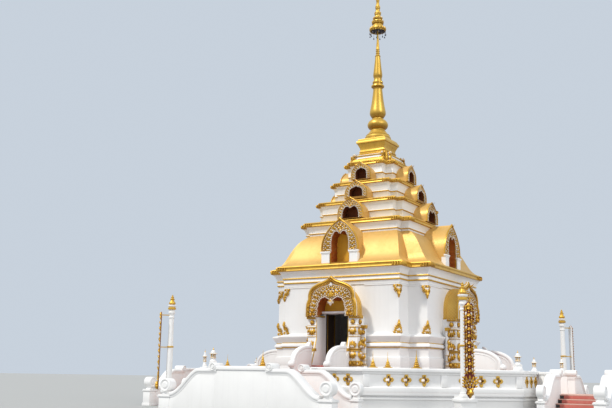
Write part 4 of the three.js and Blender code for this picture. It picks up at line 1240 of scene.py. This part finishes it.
def band_ends(bm, half, notch, z, height):
    """Curled leaves on both faces of each outer corner of a band, with a ball on the arris."""
    for x, y in ((notch, -half), (half, -notch)):
        for k, (size, shape) in enumerate(((0.9, curl), (0.85, curl), (0.8, curl), (0.7, flame))):
            along, foot = height * (0.38 + 0.6 * k), z + height * 0.04
            stamp(bm, shape, (x - along, y - 0.004, foot), height * size, deep=1.4)
            stamp(bm, shape, (x + 0.004, y + along, foot), height * size, wide=-1, turn=math.pi / 2, deep=1.4)
        middle = Matrix.Translation((x - 0.01, y + 0.01, z + height * 0.3))
        bmesh.ops.create_icosphere(bm, subdivisions=2, radius=height * 0.34, matrix=middle)
        stamp(bm, leaf, (x, y, z + height * 0.2), height * 0.85, turn=math.pi / 4, deep=1.4)


cornice = bmesh.new()
cornice_levels = (
    (5.4603, 3.76, 0), (5.6, 3.76, 0), (5.61, 3.785, 1), (5.62, 3.8, 1), (5.66, 3.8, 1), (5.67, 3.77, 1),
    (5.8, 3.775, 0), (5.805, 3.81, 1), (5.815, 3.82, 1), (5.85, 3.82, 1), (5.86, 3.8, 1), (5.93, 3.82, 0),
    (6.0, 3.85, 0), (6.07, 3.885, 0), (6.12, 3.92, 0), (6.15, 3.95, 0), (6.16, 3.985, 1), (6.164, 4.0, 1),
    (6.195, 4.0, 1), (6.2, 3.99, 1), (6.31, 3.985, 1), (6.315, 4.0, 1), (6.35, 4.0, 1), (6.392, 3.97, 1))
moulded(cornice, [(z, half, round(half - 0.9, 4), mark) for z, half, mark in cornice_levels])
soften(cornice, 0.004, 1, 50)
finished("hall_cornice", cornice, [plaster, gold], ["cornice"])

cornice_ends = bmesh.new()
band_ends(cornice_ends, 4.0, 3.1, 6.17, 0.19)
four_times("cornice_leaves", cornice_ends, [bright_gold], names=CORNERS, merge=0)


# Lower roof: a steep hollow-curved roof of brick and plaster painted gold, with crisp folds at
# the stepped corners. Its four sides are opened behind the large niches.
def opened(bm, half, top):
    """Takes a window out of the roof on the -Y side."""
    for point, normal in (((half, 0, 0), (1, 0, 0)), ((-half, 0, 0), (1, 0, 0)), ((0, 0, top), (0, 0, 1))):
        faces = [face for face in bm.faces if face.calc_center_median().y < -2.5]
        edges = {edge for face in faces for edge in face.edges}
        verts = {vert for face in faces for vert in face.verts}
        parts = faces + list(edges) + list(verts)
        bmesh.ops.bisect_plane(bm, geom=parts, dist=0.0002, plane_co=point, plane_no=normal)
    doomed = []
    for face in bm.faces:
        middle = face.calc_center_median()
        if abs(middle.x) < half and middle.y < -2.5 and middle.z < top and face.normal.z > -0.5:
            doomed.append(face)
    bmesh.ops.delete(bm, geom=doomed, context="FACES")


# Roof gold; its faces that look down are darkened strongly as painted shade.
roof_gold = painted(
    "roof_gold", (0.705, 0.435, 0.13), (0.57, 0.325, 0.07), 0.4, 0.46, metallic=0.35, grain=18.0, bump=0.2,
    underside_shade=0.8,
)
roof = bmesh.new()
slope = [(6.4, 3.93, 3.05), (6.5, 3.74, 2.89), (6.7, 3.56, 2.76), (6.98, 3.4, 2.67), (7.34, 3.2, 2.56),
         (7.62, 3.0, 2.45), (7.82, 2.8, 2.33), (7.92, 2.64, 2.23)]
halves_line = curved([(half, z) for z, half, _ in slope], 3)
notches_line = curved([(notch, z) for z, _, notch in slope], 3)
folds = [(z, half, notch, 0) for (half, z), (notch, _) in zip(halves_line, notches_line)]
moulded(roof, [(6.3923, 3.94, 3.06, 0)] + folds)
bmesh.ops.recalc_face_normals(roof, faces=roof.faces)
for _ in range(4):
    opened(roof, 0.46, 7.85)
    turned(roof, math.pi / 2)
finished("roof_slopes", roof, [roof_gold], ["lower_roof"], smooth=25)


# Upper tiers: four smaller stories, each a low white wall, a thin gold line, a pale cove that
# leans out and a gold band, all in moulded plaster on the same stepped plan.
def story(heights, wall, reach, crown):
    """wall, reach and crown are (half, notch) pairs. Each step starts from one of them and adds to it."""
    foot, line, cove, band, top = heights
    steps = (
        (foot, wall, 0, 0), (line - 0.01, wall, 0, 0), (line, wall, 0.035, 1), (line + 0.008, wall, 0.045, 1),
        (line + 0.036, wall, 0.045, 1), (line + 0.045, wall, 0.02, 1), (line + 0.06, wall, 0.01, 0),
        (cove - 0.1, reach, -0.12, 0), (cove - 0.04, reach, -0.085, 0), (cove, reach, -0.05, 0),
        (cove + 0.014, reach, -0.02, 1), (cove + 0.024, reach, 0, 1), (cove + 0.045, reach, 0, 1),
        (cove + 0.05, reach, -0.012, 1), (band - 0.035, reach, -0.012, 1), (band - 0.03, reach, 0, 1),
        (band, reach, 0, 1), (band + 0.029, reach, -0.035, 1), (top, crown, 0, 1))
    bm = bmesh.new()
    moulded(bm, [(z, half + out, notch + out, mark) for z, (half, notch), out, mark in steps])
    soften(bm, 0.004, 1, 50)
    return bm


for name, stands_for, heights, wall, reach, crown in (
    ("second_eave_bands", "second_eave", (7.9203, 8.005, 8.335, 8.52, 8.59),
     (2.62, 2.23), (2.805, 2.424), (2.2, 1.85)),
    ("third_story", "third_tier", (8.5903, 8.96, 9.38, 9.54, 9.6),
     (2.12, 1.8), (2.274, 1.959), (1.72, 1.42)),
    ("fourth_story", "fourth_tier", (9.6003, 9.96, 10.38, 10.54, 10.6),
     (1.63, 1.31), (1.784, 1.443), (1.26, 0.89)),
    ("fifth_story", "fifth_tier", (10.6003, 10.98, 11.42, 11.6, 11.62),
     (1.18, 0.8), (1.321, 0.931), (1.25, 0.86)),
):
    tier = story(heights, wall, reach, crown)
    finished(name, tier, [plaster, gold], [stands_for])

for name, *shape in (("second", 2.805, 2.424, 8.36, 0.16), ("third", 2.274, 1.959, 9.404, 0.14),
                     ("fourth", 1.784, 1.443, 10.405, 0.14), ("fifth", 1.321, 0.931, 11.445, 0.155)):
    ends = bmesh.new()
    band_ends(ends, *shape)
    four_times(name + "_band_leaves", ends, [bright_gold], names=CORNERS, merge=0)


# Niches: each side of the roof and of three stories carries an arched niche, a plastered barrel
# painted gold whose front is a pointed arch of white and gold foliage round a lobed opening.
niche_dark = painted("niche_dark", (0.17, 0.038, 0.004), (0.05, 0.014, 0.003), 0.6, 0.85)
POINTED = ((1, 0), (0.985, 0.2), (0.9, 0.4), (0.75, 0.56), (0.56, 0.7), (0.36, 0.82), (0.18, 0.9),
           (0.07, 0.955), (0, 1.01))
TWO_LOBES = ((1, 0), (0.95, 0.35), (0.82, 0.66), (0.62, 0.9), (0.42, 1.0), (0.2, 0.92), (0, 0.74))
ONE_PEAK = ((1, 0), (0.97, 0.3), (0.88, 0.55), (0.72, 0.7), (0.5, 0.8), (0.3, 0.85), (0.14, 0.93), (0, 1.02))


def half_arch(half, foot, spring, top, shape):
    """One side of an arch from its foot to its tip, with a shape that is one unit wide and high."""
    return [(half, foot)] + curved([(half * u, spring + v * (top - spring)) for u, v in shape])


def niche(half, foot, shoulder, tip, face, back, opening, depth, size, detail, plain=0.0):
    """A barrel with an arched front, whose foliage starts at height plain. The opening is a half_arch.

    Finishes: 0 barrel, 1 ground in darker gold as painted shade, 2 inside, 3 back, 4 gold leaves, 5 white
    leaves.
    """
    bm = bmesh.new()
    outer = whole(half_arch(half, foot, shoulder, tip, POINTED), 2 * detail + 1)
    inner = whole(scalloped(half_arch(*opening), detail + 1, size * 0.3, 7), 2 * detail + 1)
    tight = [(x * 0.95, z - size * 0.3 if z > foot + 0.01 else z) for x, z in outer]
    hoops = ((outer, -back), (outer, -face + 0.01), (tight, -face - 0.006), (inner, -face - 0.006),
             (inner, -face + 0.05), (inner, -face + depth))
    raise_rings(bm, [at_depth(line, y) for line, y in hoops], [0, 0, 1, 4, 2, 3])
    carved = [(x, max(z, plain)) for x, z in outer]
    edge = [(x, max(z, plain)) for x, z in inner]
    roll = [(-face + 0.02, size * 0.03), (-face - size * 0.3, size * 0.05), (-face - size * 0.6, -size * 0.2),
            (-face - size * 0.45, -size * 0.55), (-face + 0.02, -size * 0.6)]
    swept(bm, roll, [point for point in carved if point[1] > plain] if plain else outer, 4)
    garland(bm, edge, carved, -face - 0.006, size, [
        (0.08, (rosette, curl), (5, 4), 0.75), (0.24, (curl, rosette, flame), (4, 5, 4), 1.0),
        (0.42, (rosette, curl, flame), (5, 4, 4), 1.0), (0.6, (curl, rosette, flame), (4, 5, 4), 0.95),
        (0.76, (rosette, curl), (4, 5), 0.7)])
    fringe(bm, carved, -face - size * 0.2, size * 0.7, 4, gap=0.75)
    fringe(bm, edge, -face - 0.01, size * 0.55, 5, inward=True, shape=leaf, gap=0.95)
    curled_tip(bm, face, tip, 0.14, 4)
    return bm


big = niche(0.885, 6.38, 6.98, 8.41, 3.755, 2.5, (0.472, 6.483, 7.4, 7.91, TWO_LOBES), 0.605, 0.085, 36, 6.98)
cheek = ((0.5, 0.9, -3.8, -3.6, 6.393, 6.86), (0.48, 0.92, -3.815, -3.73, 6.86, 6.91),
         (0.46, 0.95, -3.84, -3.73, 6.91, 6.975))
for side in (1, -1):
    for a, b, front, back, z0, z1 in cheek:
        low, high = sorted((side * a, side * b))
        block(big, (low, front, z0), (high, back, z1), 6)
niche_finishes = [roof_gold, shaded_gold, dark_red, yellow_wall, bright_gold, pale_relief, plaster]
four_times("roof_niche", big, niche_finishes, merge=0)
niche_finishes = [roof_gold, shaded_gold, niche_dark, niche_dark, bright_gold, pale_relief]
for name, *sizes in (
    ("third", 0.62, 8.595, 8.76, 9.54, 2.8, 2.0, (0.445, 8.61, 8.8, 9.18, TWO_LOBES), 0.45, 0.062, 24),
    ("fourth", 0.55, 9.605, 9.79, 10.45, 2.27, 1.5, (0.37, 9.7, 9.87, 10.22, ONE_PEAK), 0.42, 0.058, 24),
    ("fifth", 0.49, 10.605, 10.78, 11.44, 1.78, 1.0, (0.315, 10.63, 10.85, 11.21, ONE_PEAK), 0.4, 0.055, 24),
):
    four_times(name + "_niche", niche(*sizes), niche_finishes, merge=0)


# Throne: the square block that carries the bell, white and gold plaster in steps, with an
# overhanging gold slab and a cluster of cast leaves at each corner.
throne = bmesh.new()
moulded(throne, [
    (11.6203, 1.13, 0.8, 1), (11.72, 1.13, 0.8, 1), (11.73, 1.1, 0.78, 1), (11.82, 1.06, 0.77, 1),
    (11.83, 0.98, 0.76, 0), (11.92, 0.965, 0.755, 0), (11.93, 0.99, 0.78, 1), (11.99, 0.99, 0.78, 1),
    (12.0, 0.88, 0.74, 0), (12.05, 0.84, 0.72, 0), (12.06, 0.8, 0.7, 1), (12.12, 0.74, 0.66, 1),
    (12.22, 0.665, 0.622, 1), (12.25, 0.69, 0.65, 1), (12.28, 0.69, 0.65, 1), (12.29, 0.655, 0.625, 1),
    (12.36, 0.645, 0.62, 1), (12.43, 0.65, 0.63, 1), (12.53, 0.69, 0.67, 1), (12.62, 0.735, 0.72, 1),
    (12.66, 0.74, 0.73, 1), (12.67, 0.785, 0.775, 1), (12.78, 0.785, 0.775, 1), (12.79, 0.75, 0.74, 1),
    (12.9, 0.7, 0.69, 1)])
soften(throne, 0.004, 1, 50)
finished("bell_throne", throne, [plaster, gold], ["throne"])

crests = bmesh.new()
for x, y, turn, side in ((0.76, -1.01, 0.0, -1), (1.01, -0.76, math.pi / 2, 1)):
    along = Vector((math.cos(turn), math.sin(turn), 0)) * side
    for k, (out, z, size) in enumerate(((0.0, 11.66, 0.2), (0.13, 11.66, 0.17), (0.26, 11.66, 0.14),
                                        (0.06, 11.78, 0.18), (0.19, 11.78, 0.14), (0.0, 11.9, 0.16),
                                        (0.1, 11.92, 0.13), (0.02, 12.02, 0.13))):
        shape, mark = ((curl, 0), (rosette, 1), (flame, 0))[k % 3]
        at = Vector((x, y, z)) + along * out
        stamp(crests, shape, at, size, lean=0.4 * side, wide=-side, mark=mark, turn=turn, deep=1.6)
core = ((11.62, 1.03), (11.78, 1.01), (11.93, 0.95), (12.06, 0.84), (12.14, 0.76))
raise_rings(crests, [[(0.74, -out, z), (out, -0.74, z), (0.74, -0.74, z)] for z, out in core])
for z, out, size in ((11.63, 0.885, 0.24), (11.75, 0.88, 0.22), (11.87, 0.86, 0.2), (11.98, 0.82, 0.17)):
    stamp(crests, flame, (out, -out, z), size, turn=math.pi / 4, deep=1.3)
    for side, mark in ((1, 1), (-1, 0)):
        at = (out + side * 0.07, -out + side * 0.07, z)
        stamp(crests, curl, at, size * 0.6, lean=-side / 2, wide=side, mark=mark, turn=math.pi / 4, deep=1.3)
four_times("throne_leaves", crests, [bright_gold, pale_relief], names=CORNERS, merge=0)


# Spire: a bell with its ball, a tall vase and a stack of turned rings, all in plaster over brick
# and painted gold, one on the other.
# Spire gold; its faces that look down are darkened almost to the stain colour as painted shade.
spire_gold = painted(
    "spire_gold", (0.72, 0.45, 0.075), (0.34, 0.17, 0.015), 0.3, 0.36, metallic=0.5, grain=14.0, underside_shade=0.95
)
bell = [
    (0.0, 12.9), (0.64, 12.9), (0.662, 12.925), (0.662, 12.96), (0.635, 12.985), (0.64, 13.03), (0.605, 13.1),
    (0.575, 13.14), (0.585, 13.155), (0.545, 13.2), (0.5, 13.225), (0.46, 13.28), (0.41, 13.35),
    (0.37, 13.41), (0.348, 13.45), (0.343, 13.475), (0.385, 13.49), (0.44, 13.53), (0.485, 13.6),
    (0.505, 13.67), (0.505, 13.72), (0.485, 13.79), (0.44, 13.87), (0.37, 13.94), (0.29, 13.985),
    (0.262, 14.01), (0.255, 14.05), (0.0, 14.05)]
vase = [
    (0.0, 14.0503), (0.25, 14.0503), (0.28, 14.065), (0.31, 14.1), (0.33, 14.14), (0.372, 14.2),
    (0.394, 14.26), (0.397, 14.32), (0.39, 14.39), (0.372, 14.48), (0.345, 14.62), (0.315, 14.78),
    (0.285, 14.98), (0.265, 15.15), (0.243, 15.34), (0.228, 15.48), (0.223, 15.54), (0.0, 15.54)]
ring_stack = [
    (0.0, 15.5406), (0.223, 15.5406), (0.24, 15.6), (0.225, 15.625), (0.27, 15.64), (0.312, 15.66),
    (0.324, 15.7), (0.312, 15.745), (0.25, 15.775), (0.235, 15.79), (0.235, 15.85), (0.258, 15.87),
    (0.262, 15.91), (0.25, 15.95), (0.215, 15.97), (0.2, 16.0), (0.196, 16.1), (0.2, 16.17), (0.222, 16.21),
    (0.228, 16.28), (0.222, 16.38), (0.19, 16.62), (0.16, 16.9), (0.135, 17.15), (0.122, 17.265),
    (0.135, 17.28), (0.138, 17.31), (0.12, 17.33), (0.085, 17.37), (0.082, 17.41), (0.1, 17.43), (0.1, 17.45),
    (0.082, 17.47), (0.08, 17.53), (0.098, 17.55), (0.098, 17.57), (0.082, 17.59), (0.08, 17.63),
    (0.094, 17.65), (0.094, 17.67), (0.085, 17.69), (0.072, 17.86), (0.055, 18.1), (0.042, 18.35),
    (0.034, 18.5), (0.03, 18.64), (0.0, 18.64)]
for name, stands_for, profile, steps in (
    ("bell_and_ball", "spire_bell", bell, 56),
    ("spire_vase_gold", "spire_vase", vase, 48),
    ("spire_ring_stack", "spire_rings", ring_stack, 40),
):
    spun = bmesh.new()
    lathed(spun, profile, steps=steps)
    finished(name, spun, [spire_gold], [stands_for], smooth=30)


# Parasol: tiers of pierced and gilded sheet metal on the tip of the spire, each with a ring of
# leaf curls at its edge, and small dark bells on rods under the lowest.
# Dark metal for the little bells and rods, also used as painted shade on the parasol's underside.
bell_metal_and_shade = painted("bell_metal_and_shade", (0.08, 0.07, 0.08), (0.03, 0.03, 0.04), 0.5, 0.4, metallic=0.8)
parasol = bmesh.new()
crown = [
    (0.0, 18.95), (0.2, 18.9), (0.32, 18.74), (0.36, 18.63), (0.38, 18.605), (0.385, 18.64), (0.365, 18.675),
    (0.35, 18.71), (0.335, 18.8), (0.3, 18.88), (0.24, 18.955), (0.238, 18.99), (0.295, 19.02), (0.3, 19.05),
    (0.275, 19.08), (0.235, 19.13), (0.2, 19.18), (0.198, 19.22), (0.238, 19.25), (0.243, 19.275),
    (0.215, 19.3), (0.175, 19.37), (0.15, 19.42), (0.148, 19.5), (0.168, 19.53), (0.165, 19.555),
    (0.14, 19.6), (0.11, 19.72), (0.105, 19.82), (0.126, 19.86), (0.124, 19.89), (0.1, 19.95), (0.075, 20.1),
    (0.07, 20.22), (0.086, 20.27), (0.084, 20.3), (0.06, 20.38), (0.04, 20.6), (0.048, 20.64), (0.03, 20.7),
    (0.024, 20.9), (0.012, 21.1), (0.0, 21.2)]
# The three lowest bands, the underside of the lowest tier, are in the dark metal: painted shade.
lathed(parasol, crown, steps=36, marks=[1] * 3 + [0] * 39)


def ringed(turn, radius, z):
    """A place on a ring, with turn 0 at the front."""
    return radius * math.sin(turn), -radius * math.cos(turn), z


for radius, z, count, size in ((0.37, 18.63, 16, 0.2), (0.275, 19.06, 14, 0.13), (0.215, 19.28, 12, 0.11),
                               (0.145, 19.56, 10, 0.1), (0.105, 19.9, 8, 0.09), (0.07, 20.3, 8, 0.07)):
    for k in range(count):
        turn = 2 * math.pi * k / count
        stamp(parasol, flame, ringed(turn, radius, z), size, wide=0.75, turn=turn)
        at = ringed(turn + 0.12, radius * 1.02, z - 0.02)
        stamp(parasol, curl, at, size * 0.7, wide=0.8, turn=turn + math.pi / 2)
little_bell = [(0.0, 0.045), (0.014, 0.04), (0.02, 0.02), (0.032, -0.02), (0.034, -0.03), (0.0, -0.03)]
for k in range(16):
    turn = 2 * math.pi * (k + 0.5) / 16
    x, y = 0.4 * math.cos(turn), 0.4 * math.sin(turn)
    z = 18.61 - (0.14 if k % 2 else 0.24)
    block(parasol, (x - 0.004, y - 0.004, z), (x + 0.004, y + 0.004, 18.62), 1)
    lathed(parasol, little_bell, (x, y, z), 10, [1] * 5)
gilt = [spire_gold, bell_metal_and_shade]
finished("parasol_gilt", parasol, gilt, ["spire_parasol"], merge=0, smooth=45)

out = {"cad": [list(c) for c in cad_box], "visual": [list(c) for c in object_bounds()]}
